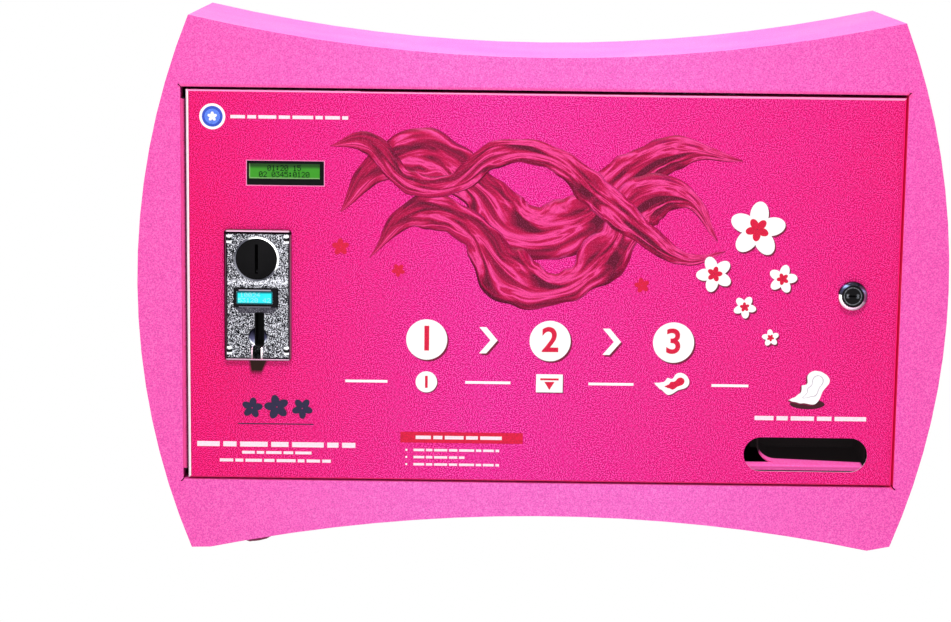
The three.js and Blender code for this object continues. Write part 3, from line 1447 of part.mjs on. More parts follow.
function controlBoard() {
  const face = -controlStandoff - boardThickness;
  const board = block(0, controlWidth, face, -controlStandoff, 0, controlHeight);
  const pieces = [];
  for (const x of [controlStandoffInset, controlWidth - controlStandoffInset]) {
    for (const z of [controlStandoffInset, controlHeight - controlStandoffInset]) {
      pieces.push(rodY(controlStandoffRadius, face, 0, x, z, hiddenSteps));
    }
  }
  for (let n = 0; n < relays; n++) {
    const x = 2 * controlStandoffInset + n * relayPitch;
    const top = controlHeight - boardMargin;
    pieces.push(block(x, x + relayDepth, face - relayHeight, face, top - relayWidth, top));
  }
  const stripLeft = 2 * controlStandoffInset;
  const stripLength = terminals * terminalPitch;
  const strip = block(stripLeft, stripLeft + stripLength, face - terminalHeight, face, boardMargin / 2,
    boardMargin / 2 + terminalDepth);
  const funnels = [];
  for (let n = 0; n < terminals; n++) {
    const x = stripLeft + (n + 0.5) * terminalPitch;
    funnels.push(rodY(terminalFunnel / 2, face - terminalHeight - overrun, face - terminalHeight / 2,
      x, (boardMargin + terminalDepth) / 2, hiddenSteps));
  }
  pieces.push(cut(strip, ...funnels));
  for (let n = 0; n < capacitors; n++) {
    const x = controlWidth - boardMargin - capacitorRadius - n * (2 * capacitorRadius + boardMargin);
    pieces.push(rodY(capacitorRadius, face - capacitorHeight, face,
      x, controlHeight / 4 + capacitorRadius, smallSteps));
  }
  pieces.push(block(stripLeft, stripLeft + chipLength, face - chipHeight, face, controlHeight / 2 - chipWidth,
    controlHeight / 2));
  const sinkLeft = controlWidth - boardMargin - heatSinkFins * heatSinkPitch;
  const sinkLow = controlHeight / 2;
  pieces.push(block(sinkLeft, sinkLeft + (heatSinkFins - 1) * heatSinkPitch + heatSinkFin,
    face - heatSinkPitch, face,
    sinkLow, sinkLow + heatSinkHeight));
  for (let n = 0; n < heatSinkFins; n++) {
    const x = sinkLeft + n * heatSinkPitch;
    pieces.push(block(x, x + heatSinkFin, face - heatSinkDepth, face, sinkLow, sinkLow + heatSinkHeight));
  }
  return join(board, ...pieces);
}

// Power supply: a folded case with a stepped terminal end and vent slots
const supply = subassembly(machine, supplyLeft, insideBack, supplyAbove);

function powerSupply() {
  const profile = outline([
    [0, 0], [supplyWidth, 0], [supplyWidth, -supplyStepDepth], [supplyWidth - supplyStep, -supplyStepDepth],
    [supplyWidth - supplyStep, -supplyDepth + supplyCorner],
    [supplyWidth - supplyStep - supplyCorner, -supplyDepth],
    [supplyCorner, -supplyDepth], [0, -supplyDepth + supplyCorner],
  ]);
  const housing = upright(profile, 0, supplyHeight);
  const barLow = (supplyHeight - supplyTerminals * supplyTerminalPitch) / 2;
  const walls = [];
  for (let n = 0; n <= supplyTerminals; n++) {
    const z = barLow + n * supplyTerminalPitch;
    walls.push(block(supplyWidth - supplyStep - supplyCorner, supplyWidth - supplyCorner,
      -(supplyStepDepth + supplyDepth) / 2,
      -supplyStepDepth / 2, z - supplyVentDepth / 2, z + supplyVentDepth / 2));
  }
  const vents = [];
  const ventLeft = (supplyWidth - supplyStep - supplyVents * supplyVentPitch) / 2;
  for (let n = 0; n < supplyVents; n++) {
    const x = ventLeft + n * supplyVentPitch;
    const low = (supplyHeight - supplyVentLength) / 2;
    const vent = roundedRectangle(x, x + supplyVentWidth, low, low + supplyVentLength, supplyVentWidth / 2);
    vents.push(facing(vent, -supplyDepth - overrun, -supplyDepth + supplyVentDepth, 1));
  }
  return cut(join(housing, ...walls), ...vents);
}

addPiece(control, 'control_board', controlBoard(), circuitGreen);
addPiece(supply, 'power_supply', powerSupply(), galvanised);

// Coin box under the acceptor, on a shelf from the back panel
const coinBoxTop = coinZ - acceptorHeight / 2 - coinBoxBelowAcceptor;
const coinVault = subassembly(machine, coinX, -cabinetDepth + coinBoxSetback, coinBoxTop - coinBoxHeight);
const vaultWallBack = cabinetDepth - coinBoxSetback - sheet;

function coinBox() {
  const half = coinBoxWidth / 2;
  const wall = coinBoxWall;
  const box = block(-half, half, 0, coinBoxDepth, 0, coinBoxHeight);
  const hollow = block(-half + wall, half - wall, wall, coinBoxDepth - wall, wall, coinBoxHeight + overrun);
  const bar = coinBoxHandleBar;
  const grip = coinBoxHandleWidth / 2;
  const middle = coinBoxHeight / 2;
  const handle = upright(outline([
    [-grip, wall / 2], [-grip, -coinBoxHandleReach], [grip, -coinBoxHandleReach], [grip, wall / 2],
    [grip - bar, wall / 2], [grip - bar, -coinBoxHandleReach + bar],
    [-grip + bar, -coinBoxHandleReach + bar],
    [-grip + bar, wall / 2],
  ]), middle - bar, middle + bar);
  return join(cut(box, hollow), handle);
}

function coinBoxShelf() {
  const half = coinBoxWidth / 2 + coinShelfMargin;
  const front = -coinShelfGap - sheet;
  return across(outline([
    [front, -sheet], [vaultWallBack, -sheet], [vaultWallBack, coinShelfFoot],
    [vaultWallBack - sheet, coinShelfFoot],
    [vaultWallBack - sheet, 0], [front + sheet, 0], [front + sheet, coinShelfLip], [front, coinShelfLip],
  ]), -half, half);
}

addPiece(coinVault, 'coin_box', coinBox(), stainless);
addPiece(coinVault, 'coin_box_shelf', coinBoxShelf(), galvanised);

export default machine;
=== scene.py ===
"""Looks of a sanitary napkin vending machine: finishes, printed door, displays and fasteners on the CAD frame.

The wall is the plane y = 0, the front looks along -Y and +Z is up. Lengths are in metres unless a name ends in _mm.
"""

import math
from functools import partial, partialmethod

import bmesh
import bpy
from bpy.props import FloatProperty, FloatVectorProperty, IntProperty, PointerProperty
from mathutils import Matrix, Vector


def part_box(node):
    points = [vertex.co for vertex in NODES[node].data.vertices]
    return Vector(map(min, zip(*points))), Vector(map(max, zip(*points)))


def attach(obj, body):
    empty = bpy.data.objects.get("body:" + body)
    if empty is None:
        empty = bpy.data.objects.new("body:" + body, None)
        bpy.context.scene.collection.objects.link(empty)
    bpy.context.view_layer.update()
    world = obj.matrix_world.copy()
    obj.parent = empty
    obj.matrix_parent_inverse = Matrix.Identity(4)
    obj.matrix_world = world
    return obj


bl_info = {
    "name": "Napkin Vending Machine Looks",
    "version": (1, 0, 0),
    "blender": (4, 5, 0),
    "location": "3D View > Sidebar > Vending Machine",
    "description": "Finishes, printed door, displays and small fasteners of a napkin vending machine",
    "category": "Object",
}

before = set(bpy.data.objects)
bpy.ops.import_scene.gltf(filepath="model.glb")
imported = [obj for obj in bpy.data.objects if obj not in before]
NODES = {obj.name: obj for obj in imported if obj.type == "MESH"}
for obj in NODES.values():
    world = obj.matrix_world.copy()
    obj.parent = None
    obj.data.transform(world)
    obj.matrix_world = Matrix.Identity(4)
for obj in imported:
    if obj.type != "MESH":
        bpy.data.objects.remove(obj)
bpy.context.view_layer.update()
MM = 0.001
SHEET_LOW, SHEET_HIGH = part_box("door_graphic_sheet")
DOOR_LOW, DOOR_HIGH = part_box("door_pan")
PRINT_FACE = SHEET_LOW.y
PRINT_LAYER = 0.00006
DOOR_GAP = 0.0036
FLANGE_END = 0.3471
SLOT = Vector((SHEET_HIGH.x - 0.0834, 0, SHEET_LOW.z + 0.0287))
SLOT_HALF_WIDTH, SLOT_HALF_HEIGHT = 0.0612, 0.0178
BOLTS = tuple(f"faceplate_bolt_{n}" for n in range(1, 5))


def linear(code):
    """Linear RGBA of an sRGB hex colour."""
    channels = [int(code[i : i + 2], 16) / 255 for i in (1, 3, 5)]
    return tuple(c / 12.92 if c <= 0.04045 else ((c + 0.055) / 1.055) ** 2.4 for c in channels) + (1.0,)


def shaded(tint, factor, lift=0.0):
    """A linear colour made darker or paler."""
    return tuple(min(1.0, c * factor + lift) for c in tint[:3]) + (1.0,)


def colour(name, code, description):
    return FloatVectorProperty(
        name=name, description=description, subtype="COLOR", size=4, min=0, max=1, default=linear(code)
    )


def length(name, value_mm, description):
    return FloatProperty(name=name, description=description, unit="LENGTH", min=0, default=value_mm * MM)


class FinishSettings(bpy.types.PropertyGroup):
    """Colours of the machine's own finishes."""

    paint: colour("Paint", "#F462C4", "Powder coat of the cabinet")
    paint_grain: colour("Paint grain", "#FF96D8", "Lighter grains in the powder coat")
    door_edge: colour("Door edge", "#F6E3EE", "Unprinted coat at the edge of the door")
    # Painted highlight: the paler pink of the door's upper fold
    top_edge: colour("Top edge", "#F59CD0", "Thin ink over the upper fold of the door")
    chute: colour("Chute", "#E44E9E", "Powder coat of the chute and tray")
    display: colour("Display", "#36921B", "Lit ground of the stock display")
    window: colour("Window", "#1FCFD9", "Lit ground of the coin window")
    orange_peel: length("Orange peel", 1.3, "Width of one grain of the powder coat")
    slot_light: FloatProperty(name="Slot light", description="Glow of the tray behind the slot", min=0, default=1.1)


class PrintSettings(bpy.types.PropertyGroup):
    """Colours and sizes of the print on the door."""

    left: colour("Left ground", "#EE0058", "Ground colour at the hinge side")
    middle: colour("Middle ground", "#EE0090", "Ground colour in the middle")
    right: colour("Right ground", "#EE006A", "Ground colour at the lock side")
    speck: length("Speck", 1.0, "Width of one speck of the print")
    margin: length("White margin", 0.9, "Unprinted strip at the hinge side of the sheet")
    ribbon_dark: colour("Ribbon shade", "#5A0724", "Shade in the folds of the ribbons")
    ribbon_mid: colour("Ribbon", "#C00F4A", "Body colour of the ribbons")
    ribbon_light: colour("Ribbon light", "#F7489A", "Light on the folds of the ribbons")
    petals: IntProperty(name="Petals", description="Petals on each blossom", min=3, max=12, default=5)
    disc_radius: length("Step disc radius", 20, "Radius of the numbered discs")


class StageSettings(bpy.types.PropertyGroup):
    """Camera and lamps."""

    camera: FloatVectorProperty(
        name="Camera", description="Place of the camera", unit="LENGTH", default=(-0.0567, -2.6276, 0.4033)
    )
    pitch: FloatProperty(name="Pitch", description="Tilt down from level", subtype="ANGLE", default=0.1744)
    yaw: FloatProperty(name="Yaw", description="Turn to the left", subtype="ANGLE", default=0.0034)
    roll: FloatProperty(name="Roll", description="Turn about the view", subtype="ANGLE", default=0.01207)
    lens: FloatProperty(name="Lens", description="Focal length", subtype="DISTANCE_CAMERA", default=95.44)
    floor_drop: length("Floor drop", 1200, "Height of the hung machine above the floor")
    fill: FloatProperty(name="Fill", description="Strength of the light from all round", min=0, default=0.21)


# Building nodes

MATH, MIX, RANGE, RAMP = "ShaderNodeMath", "ShaderNodeMix", "ShaderNodeMapRange", "ShaderNodeValToRGB"
AXES, VECTOR, SCATTER = "ShaderNodeSeparateXYZ", "ShaderNodeCombineXYZ", "GeometryNodeInstanceOnPoints"
# Bands of a noise: nearly all of its values, and its upper part
MOST, UPPER = (0.3, 0.7), (0.4, 0.8)


def add_node(tree, kind, *values, out=None, stops=(), **settings):
    """Adds one node, sets its properties and colour stops, fills or links its inputs, and gives an output.

    Values go to the inputs in use in their order, or by name from a dictionary. Hex colours become linear, and a
    tuple that starts with an output is that output mapped from one range to another, by default to 0 to 1.
    """
    node = tree.nodes.new(kind)
    for name, value in settings.items():
        setattr(node, name, value)
    if stops:
        elements = node.color_ramp.elements
        elements[0].position, elements[-1].position = stops[0][0], stops[-1][0]
        for position, _ in stops[1:-1]:
            elements.new(position)
        for element, (_, tint) in zip(elements, stops):
            element.color = linear(tint) if isinstance(tint, str) else tint
    if values and isinstance(values[0], dict):
        pairs = [(node.inputs[name], value) for name, value in values[0].items()]
    else:
        pairs = zip([socket for socket in node.inputs if socket.enabled], values)
    for socket, value in pairs:
        if isinstance(value, tuple) and isinstance(value[0], Output):
            value = add_node(tree, RANGE, *value)
        if isinstance(value, Output):
            tree.links.new(value.socket, socket)
        else:
            socket.default_value = linear(value) if isinstance(value, str) and value[0] == "#" else value
    outputs = [node.outputs[out]] if out else [socket for socket in node.outputs if socket.enabled]
    return Output(outputs[0]) if outputs else None


class Output:
    """An output of a node. Sums and comparisons with it add Math nodes to its tree."""

    def __init__(self, socket):
        self.socket = socket

    def other(self, name):
        """Another output of the same node."""
        return Output(self.socket.node.outputs[name])

    def to(self, kind, *values, **settings):
        """Adds a node that takes this output first."""
        return add_node(self.socket.id_data, kind, self, *values, **settings)

    def __rsub__(self, other):
        return add_node(self.socket.id_data, MATH, other, self, operation="SUBTRACT")

    __add__ = partialmethod(to, MATH, operation="ADD")
    __sub__ = partialmethod(to, MATH, operation="SUBTRACT")
    __mul__ = partialmethod(to, MATH, operation="MULTIPLY")
    __gt__ = partialmethod(to, MATH, operation="GREATER_THAN")
    __lt__ = partialmethod(to, MATH, operation="LESS_THAN")
    __abs__ = partialmethod(to, MATH, operation="ABSOLUTE")
    larger = partialmethod(to, MATH, operation="MAXIMUM")


class Coat:
    """A finish while it is built: its nodes, and the place and facing of each point of the machine."""

    def __init__(self, name, gloss=0.5, **constants):
        self.material = bpy.data.materials.new(name)
        self.material.use_nodes = True
        self.tree = self.material.node_tree
        self.tree.nodes.clear()
        self.constants = {"Specular IOR Level": gloss, **constants}
        self.add = partial(add_node, self.tree)
        self.place = self.add("ShaderNodeTexCoord", out="Object")
        spot, facing = (self.add(AXES, vector) for vector in (self.place, self.place.other("Normal")))
        self.x, self.y, self.z = (spot.other(axis) for axis in "XYZ")
        self.facing = [facing.other(axis) for axis in "XYZ"]

    def grain(self, size, detail=2.0, stretch=(1, 1, 1)):
        """Noise with cells about as wide as size, pulled out along an axis where stretch is under 1."""
        spot = self.add("ShaderNodeMapping", {"Vector": self.place, "Scale": stretch})
        return self.add("ShaderNodeTexNoise", {"Vector": spot, "Scale": 1 / size, "Detail": detail, "Roughness": 0.6})

    def lay(self, tone, *layers):
        """Lays colours over a tone one after another, each by its share."""
        for share, tint in layers:
            tone = self.add(MIX, share, tone, tint, data_type="RGBA")
        return tone

    def slant(self, centre, degrees, radius):
        """-1 to 1 across a round part, along a direction in the x-z plane."""
        turn = math.radians(degrees)
        return (self.x - centre.x) * (math.cos(turn) / radius) + (self.z - centre.z) * (math.sin(turn) / radius)

    def beyond(self, node, inset=0.0):
        """How far a point lies outside the front outline of a node drawn in by inset, below 0 inside it."""
        low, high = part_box(node)
        middle, half = (low + high) / 2, (high - low) / 2
        return (abs(self.x - middle.x) - (half.x - inset)).larger(abs(self.z - middle.z) - (half.z - inset))

    def done(self, height=None, depth_mm=0.0, strength=0.5, **inputs):
        """Adds the bump and the shader and gives the material."""
        shader = self.constants | {name.replace("_", " "): value for name, value in inputs.items()}
        if height:
            raised = {"Height": height, "Distance": depth_mm * MM, "Strength": strength}
            shader["Normal"] = self.add("ShaderNodeBump", raised)
        self.add("ShaderNodeOutputMaterial", self.add("ShaderNodeBsdfPrincipled", shader))
        return self.material


# Finishes


def powder_coat(name, paint, inside=None, flange_end=None):
    """Powder coat, sprayed and baked: fine orange peel, small lighter grains and soft gloss, with painted shade above
    the door, at the sides, beside the door at its lock side and inside the back panel.
    """
    coat = Coat(name, gloss=0.15)
    add, x, z = coat.add, coat.x, coat.z
    fine, broad = coat.grain(paint.orange_peel, detail=3), coat.grain(0.12)
    over_door = (z > DOOR_HIGH.z) * (coat.y < DOOR_LOW.y + 0.003)
    tone = coat.lay(
        paint.paint,
        ((fine, 0.5, 0.64, 0, 0.65), paint.paint_grain),
        ((fine, 0.5, 0.36, 0, 0.6), shaded(paint.paint, 0.6)),
        ((broad, 0.3, 0.75, 0, 0.12), shaded(paint.paint, 0.8)),
        # Painted shade: a deeper pink band on the fascia just above the door
        (add(RANGE, coat.beyond("door_pan"), 0.0062, 0.004, 0, 0.4) * over_door, "#F03070"),
    )
    # Painted shade: the coat is a little darker where the sheet curves away at the sides
    tone = add(MIX, (abs(x), 0.12, 0.36), tone, "#FFDDEA", data_type="RGBA", blend_type="MULTIPLY")
    # Painted shade: deeper pink on the fascia beside the door at its lock side
    if flange_end:
        flange = (x > DOOR_HIGH.x) * (x < flange_end) * (abs(z) < DOOR_HIGH.z + DOOR_GAP)
        tone = coat.lay(tone, (flange, "#F83C80"))
    # Painted shade: the inner face of the back panel is dark, as the inside of the cabinet is in shade; its top stays
    # pink as painted light seen in the gap above the door
    if inside:
        tone = coat.lay(tone, (add(RANGE, coat.facing[1], -0.8, -0.9) * add(RANGE, z, 0.165, 0.145), inside))
    return coat.done(fine, 0.05, Base_Color=tone, Roughness=(broad, *MOST, 0.37, 0.49))


def door_coat(name, paint, door_print):
    """Powder coat of the door: white where the print stops short of its edge, ink over its other edges except the upper
    fold, which has a painted highlight and painted shade, and a faint painted glow at its side at the lock.
    """
    coat = Coat(name, gloss=0.3)
    add, x, y, z = coat.add, coat.x, coat.y, coat.z
    fine = coat.grain(paint.orange_peel)
    # Painted shade: the level top of the upper fold is dark wine; the paler pink below it is a painted highlight
    level = coat.facing[2] > add(RANGE, x, SHEET_LOW.x + 0.1, 0, 0.97, 0.8)
    fold = coat.lay(paint.top_edge, (level, "#8E0A44"))
    edge = coat.lay(door_print.right, ((z, SHEET_HIGH.z, SHEET_HIGH.z + 0.0004), fold))
    slot_cut = (abs(x - SLOT.x) < SLOT_HALF_WIDTH) * (abs(z - SLOT.z) < SLOT_HALF_HEIGHT) * (y < PRINT_FACE + 0.003)
    tone = coat.lay(
        paint.door_edge,
        ((x, SHEET_LOW.x, SHEET_LOW.x + 0.0005), edge),
        ((y > PRINT_FACE + 0.0009) * (coat.beyond("door_pan", 0.0012) < 0), paint.paint),
        (slot_cut, "#F7C3DD"),
        ((fine, *UPPER, 0, 0.15), paint.paint),
    )
    # Painted light: the side of the door at the lock glows faintly
    latch_side = add(RANGE, x, SHEET_HIGH.x, SHEET_HIGH.x + 0.0004) * add(RANGE, y, PRINT_FACE, PRINT_FACE + 0.001)
    glow = {"Emission_Color": tone, "Emission_Strength": latch_side * 0.2}
    return coat.done(fine, 0.04, Base_Color=tone, Roughness=(fine, *MOST, 0.38, 0.5), **glow)


def printed_film(name, door_print):
    """Digitally printed vinyl under a satin laminate: a speckled ground that shifts across the door."""
    coat = Coat(name, gloss=0.1)
    add, x, z = coat.add, coat.x, coat.z
    across = add(RANGE, x, SHEET_LOW.x, SHEET_HIGH.x)
    cloud, speck = coat.grain(0.16), coat.grain(door_print.speck, detail=1)
    grounds = ((0.0, door_print.left), (0.42, door_print.middle), (1.0, door_print.right))
    paler = add(RAMP, across, stops=((0.0, "#FF38A6"), (0.42, "#FF6CCA"), (1.0, "#FF52B2")))
    # Shade under the coin return lip, narrower and further left the lower it is
    lip_low, lip_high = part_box("coin_return_lip")
    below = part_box("coin_faceplate")[0].z - z
    beside = abs(x - ((lip_low.x + lip_high.x) / 2 - below * 0.15))
    half = (lip_high.x - lip_low.x) / 2 + 0.0035 - below * 0.28
    lip_shade = add(RANGE, beside - half, 0.0014, -0.0014) * add(RANGE, below, 0.0145, 0.0100) * (below > -0.004)
    # The sheet stops short at the hinge side, and has a painted highlight along its top edge, wider towards the right
    trim = SHEET_LOW.x + door_print.margin
    ground = coat.lay(
        add(RAMP, across, stops=grounds),
        ((cloud, 0.35, 0.7, 0, 0.25), door_print.middle),
        ((speck, 0.5, 0.64, 0, 0.85), paler),
        ((speck, 0.5, 0.37, 0, 0.9), "#A0003E"),
        ((x, SHEET_HIGH.x - 0.007, SHEET_HIGH.x, 0, 0.2), "#C00C4C"),
        ((coat.beyond("display_bezel", -0.001), 0.0001, -0.0001, 0, 0.75), "#FFA6D4"),
        (lip_shade, "#30120C"),
        ((x, trim + 0.0016, trim, 0, 0.5), "#8E0E48"),
    )
    wear_and_highlight = z - (SHEET_HIGH.z - add(RANGE, x, SHEET_LOW.x + 0.06, SHEET_HIGH.x, 0, 0.0008))
    edges = (add(RANGE, x, trim, trim + 0.0002), ground), (add(RANGE, wear_and_highlight, -0.0001, 0.0001), "#F9A0CC")
    tone = coat.lay("#FBF3F6", *edges)
    return coat.done(speck, 0.01, 0.3, Base_Color=tone, Roughness=(cloud, *MOST, 0.38, 0.5))


def polished_metal(name, roughness, bands):
    """Chrome plate, whose mirror shows dark and light bands of the room as painted-in shades."""
    coat = Coat(name, Metallic=1.0)
    fine = coat.grain(0.002)
    tone = coat.lay(bands(coat), ((fine, *UPPER, 0, 0.15), "#8E8E96"))
    return coat.done(Base_Color=tone, Roughness=(fine, *MOST, roughness, roughness + 0.05))


def bolt_bands(coat):
    """Painted reflection: a dark band across the middle of each dome, light above and below."""
    top, bottom = (sum(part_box(bolt), Vector()).z / 2 for bolt in BOLTS[:2])
    height = abs(abs(coat.z - (top + bottom) / 2) - (top - bottom) / 2)
    return coat.lay("#08070B", ((height, 0.0012, 0.0016), "#FFFFFF"))


def lock_bands(coat):
    """Painted reflection: a ring that is dark with bluish glints above and pinkish white below, with painted shade
    towards its right.
    """
    low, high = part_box("lock_body")
    middle, radius = (low + high) / 2, (high.x - low.x) / 2
    stops = (
        (0.0, "#E8A9CB"), (0.3, "#FFF2F9"), (0.41, "#FFFFFF"), (0.45, "#120E18"),
        (0.66, "#2C2C48"), (0.78, "#93A6DA"), (0.84, "#1C1A2A"), (1.0, "#0C0A10"),
    )
    bands = coat.add(RAMP, (coat.slant(middle, 74, radius), -1, 1), stops=stops)
    # Painted shade towards the right side of the ring
    return coat.lay(bands, ((coat.slant(middle, -20, radius), 0.1, 0.8, 0, 0.85), "#7A3C62"))


def lip_bands(coat):
    """Painted reflection: bright front edges on the two cheeks, the right one brighter, and painted shade between them.
    """
    low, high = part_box("coin_return_lip")
    middle = (low.x + high.x) / 2
    cheeks = coat.lay("#B59AA6", ((coat.x, middle, middle + 0.004), "#F6E6EE"))
    return coat.lay("#050406", ((abs(coat.x - middle), 0.0036, 0.0042), cheeks))


def plain_metal(name, code, roughness, size_mm, spread=0.1, stretch=(1, 1, 1), depth_mm=0.01):
    """Bare metal, worn, streaked or mottled. The streaks are coarser than real ones, so that they show."""
    coat = Coat(name, Metallic=1.0)
    fine, broad = coat.grain(size_mm * MM, 4, stretch), coat.grain(0.03)
    tone = coat.lay(shaded(linear(code), 1 - 2.5 * spread), ((fine, *MOST), code))
    wear_and_highlight = coat.add(RANGE, broad, *MOST, roughness, roughness + spread)
    rough = coat.add(RANGE, fine, *MOST, 0, spread) + wear_and_highlight
    return coat.done(fine, depth_mm, 0.4, Base_Color=tone, Roughness=rough)


def galvanised_sheet(name):
    """Hot-dip galvanised steel: zinc spangle in flat crystals a centimetre across."""
    coat = Coat(name, Metallic=1.0)
    crystals = coat.add("ShaderNodeTexVoronoi", {"Vector": coat.place, "Scale": 1 / 0.009}, out="Color")
    shade = coat.add("ShaderNodeSeparateColor", crystals)
    dirt = coat.add(RANGE, coat.grain(0.0012), *UPPER, 0, 0.3)
    tone = coat.lay("#A3A8AD", ((shade, 0, 1), "#C9CDD1"), (dirt, "#8E9398"))
    return coat.done(shade, 0.01, 0.3, Base_Color=tone, Roughness=(shade, 0, 1, 0.32, 0.5))


def hammered_plate(name):
    """Zinc die casting, polished on rim and ring, hammered in the sunk field, with painted reflections, highlights,
    shade and shadows.
    """
    coat = Coat(name, Metallic=1.0)
    add, x, z = coat.add, coat.x, coat.z
    beside, _, up = coat.facing
    low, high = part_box("coin_faceplate")
    disc_low, disc_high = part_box("coin_release_button")
    bezel_low, bezel_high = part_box("coin_window_bezel")

    # Sunk field: dimples, painted shade darkening it towards the left, a painted highlight just under the disc, and a
    # tapered painted shadow under the window bezel
    dimple = coat.grain(0.00085, detail=1)
    pits = dimple + add(RANGE, x, low.x, high.x, -0.03, -0.005)
    pits = pits + add(RANGE, abs(z - (disc_low.z - 0.003)), 0.004, 0.001, 0, 0.09)
    taper = z + ((bezel_high.x - bezel_low.x) / 2 + 0.0005 - bezel_low.z)
    bezel_shadow = abs(x - (bezel_low.x + bezel_high.x) / 2) < taper
    bezel_shadow = bezel_shadow * (z > bezel_low.z - 0.0062) * (z < bezel_low.z + 0.001)
    # Painted reflection on the finger scoops: dark where they face down and bluish white where they face up
    scoops = add(RAMP, (up, -0.35, 0.35), stops=((0.35, "#0B0A14"), (0.6, "#4A4A66"), (0.85, "#EEF0FF")))
    field = coat.lay(
        add(RAMP, pits, stops=((0.42, "#09090B"), (0.48, "#303036"), (0.54, "#72727A"), (0.61, "#D8D8E0"))),
        (bezel_shadow * 0.85, "#322E38"),
        ((coat.y, low.y + 0.0016, low.y + 0.0020), scoops),
        # Painted shade: the field is near black inside the coin return lip
        ((coat.beyond("coin_return_lip", 0.0004), 0.0002, -0.0002, 0, 0.92), "#030304"),
        # Painted shade: a dark line round the edge of the sunk field, under the rim
        ((coat.beyond("coin_faceplate", 0.0036), 0, 0.0009), "#120A12"),
    )
    # Painted reflection round each bolt: white above and below, dark across the middle
    for node in BOLTS:
        bolt = sum(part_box(node), Vector()) / 2
        height = abs(z - bolt.z)
        bolt_reflection = add(RANGE, abs(x - bolt.x), 0.0026, 0.0021) * add(RANGE, height, 0.0042, 0.0036)
        field = coat.lay(field, (bolt_reflection, coat.lay("#08070B", ((height, 0.0013, 0.0017), "#F4F2FA"))))
    # Painted shadow: a dark line under the top of the rim, across field and rim
    rim_shadow = add(RANGE, abs(z - (high.z - 0.0030)), 0.0015, 0.0011), "#0C0508"
    field = coat.lay(field, rim_shadow)

    # Polished ring round the disc, and the rim, with painted reflections and shade
    lit = coat.slant((disc_low + disc_high) / 2, 40, (disc_high.x - disc_low.x) / 2)
    stops = ((0.0, "#5E5E66"), (0.3, "#26262C"), (0.62, "#46464E"), (0.8, "#FFFFFF"))
    half = (high.x - low.x) / 2
    # Painted reflection and shade on the rim: dark at its left and right sides, pale at the right edge and on bevels
    # facing up, darker on bevels facing down or left
    rim = coat.lay(
        "#D9A9C2",
        ((abs(x - (low.x + high.x) / 2), half - 0.0022, half - 0.0016), "#32101F"),
        ((x, high.x - 0.0009, high.x - 0.0006), "#B8809A"),
        ((up, 0.2, 0.5), "#E2C0D2"),
        ((up, -0.2, -0.5), "#8E5C74"),
        ((beside, -0.2, -0.5), "#1E0810"),
        rim_shadow,
    )
    sunk = add(RANGE, coat.y, low.y + 0.0010, low.y + 0.0012)
    tone = coat.lay(
        add(RAMP, (lit, -1.1, 1.1), stops=stops),
        ((coat.beyond("coin_faceplate", 0.0045), -0.0002, 0), rim),
        (sunk, field),
    )
    return coat.done(dimple * sunk, 0.2, Base_Color=tone, Roughness=(sunk, 0, 1, 0.15, 0.4))


def chute_coat(name, paint):
    """Powder coat at the front of the tray, with a glow from the slot as painted light, and dark painted shade over the
    shaft, the ramp and the tray beyond the reach of the light.
    """
    coat = Coat(name, gloss=0.15)
    add, x, y, z = coat.add, coat.x, coat.y, coat.z
    low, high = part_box("chute_tray")
    fine = coat.grain(paint.orange_peel, detail=3)
    pink = coat.lay(paint.chute, ((fine, 0.46, 0.68, 0, 0.4), paint.paint_grain))
    # Painted shade: dark behind a slanting edge across the tray, on the walls above the floor, at the right end and on
    # a strip of floor at the left
    shadow_edge = y + add(RANGE, x, low.x, high.x, 0.161, 0.181)
    dark = add(RANGE, shadow_edge, -0.0015, 0.0015).larger((z, low.z + 0.009, low.z + 0.013))
    dark = dark.larger((x, high.x - 0.006, high.x - 0.004))
    dark = dark.larger((x < low.x + 0.0125) * (y > -0.2) * (z < low.z + 0.0012))
    tone = coat.lay(pink, (dark, coat.lay("#171415", (fine, "#262122"))))
    # Painted light: the tray glows, its floor most, and the shaded parts a little
    light = paint.slot_light
    inner = add(RANGE, y, -0.204, -0.198, light * 0.35, light)
    floor = add(MIX, (coat.facing[2], 0.5, 0.8), light * 0.2, inner, data_type="FLOAT")
    glow = {"Emission_Color": tone, "Emission_Strength": add(MIX, dark, floor, light / 3, data_type="FLOAT")}
    return coat.done(fine, 0.04, 0.4, Base_Color=tone, Roughness=(dark, 0, 1, 0.35, 0.7), **glow)


def moulding(name, code, roughness, light=1.6, gloss=0.2):
    """Injection-moulded plastic: spark-eroded texture, drawn coarser than real so that it shows, and a faint mottle."""
    coat = Coat(name, gloss)
    fine, broad = coat.grain(0.0006, detail=3), coat.grain(0.02)
    tone = coat.lay(code, ((broad, 0.35, 0.7, 0, 0.5), shaded(linear(code), light, 0.002)))
    rough = coat.add(RANGE, fine, *MOST, roughness - 0.05, roughness + 0.08)
    return coat.done(fine, 0.02, 0.4, Base_Color=tone, Roughness=rough)


def bezel_moulding(name):
    """Glossy black bezel of the coin window: its upper step and its lower edge catch the light."""
    coat = Coat(name, gloss=0.06)
    low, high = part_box("coin_window_bezel")
    fine = coat.grain(0.0006, detail=3)
    tone = coat.lay("#040306", ((fine, *MOST), "#100B10"))
    inside = abs(coat.x - ((low.x + high.x) / 2 - 0.001)) < (high.x - low.x) / 2 - 0.006
    for height, width, code in ((high.z - 0.0021, 0.0007, "#A8A3B2"), (low.z + 0.0006, 0.0005, "#8E8A98")):
        tone = coat.lay(tone, (coat.add(RANGE, abs(coat.z - height), width, width / 2) * inside, code))
    return coat.done(fine, 0.02, 0.3, Base_Color=tone, Roughness=(fine, *MOST, 0.2, 0.3))


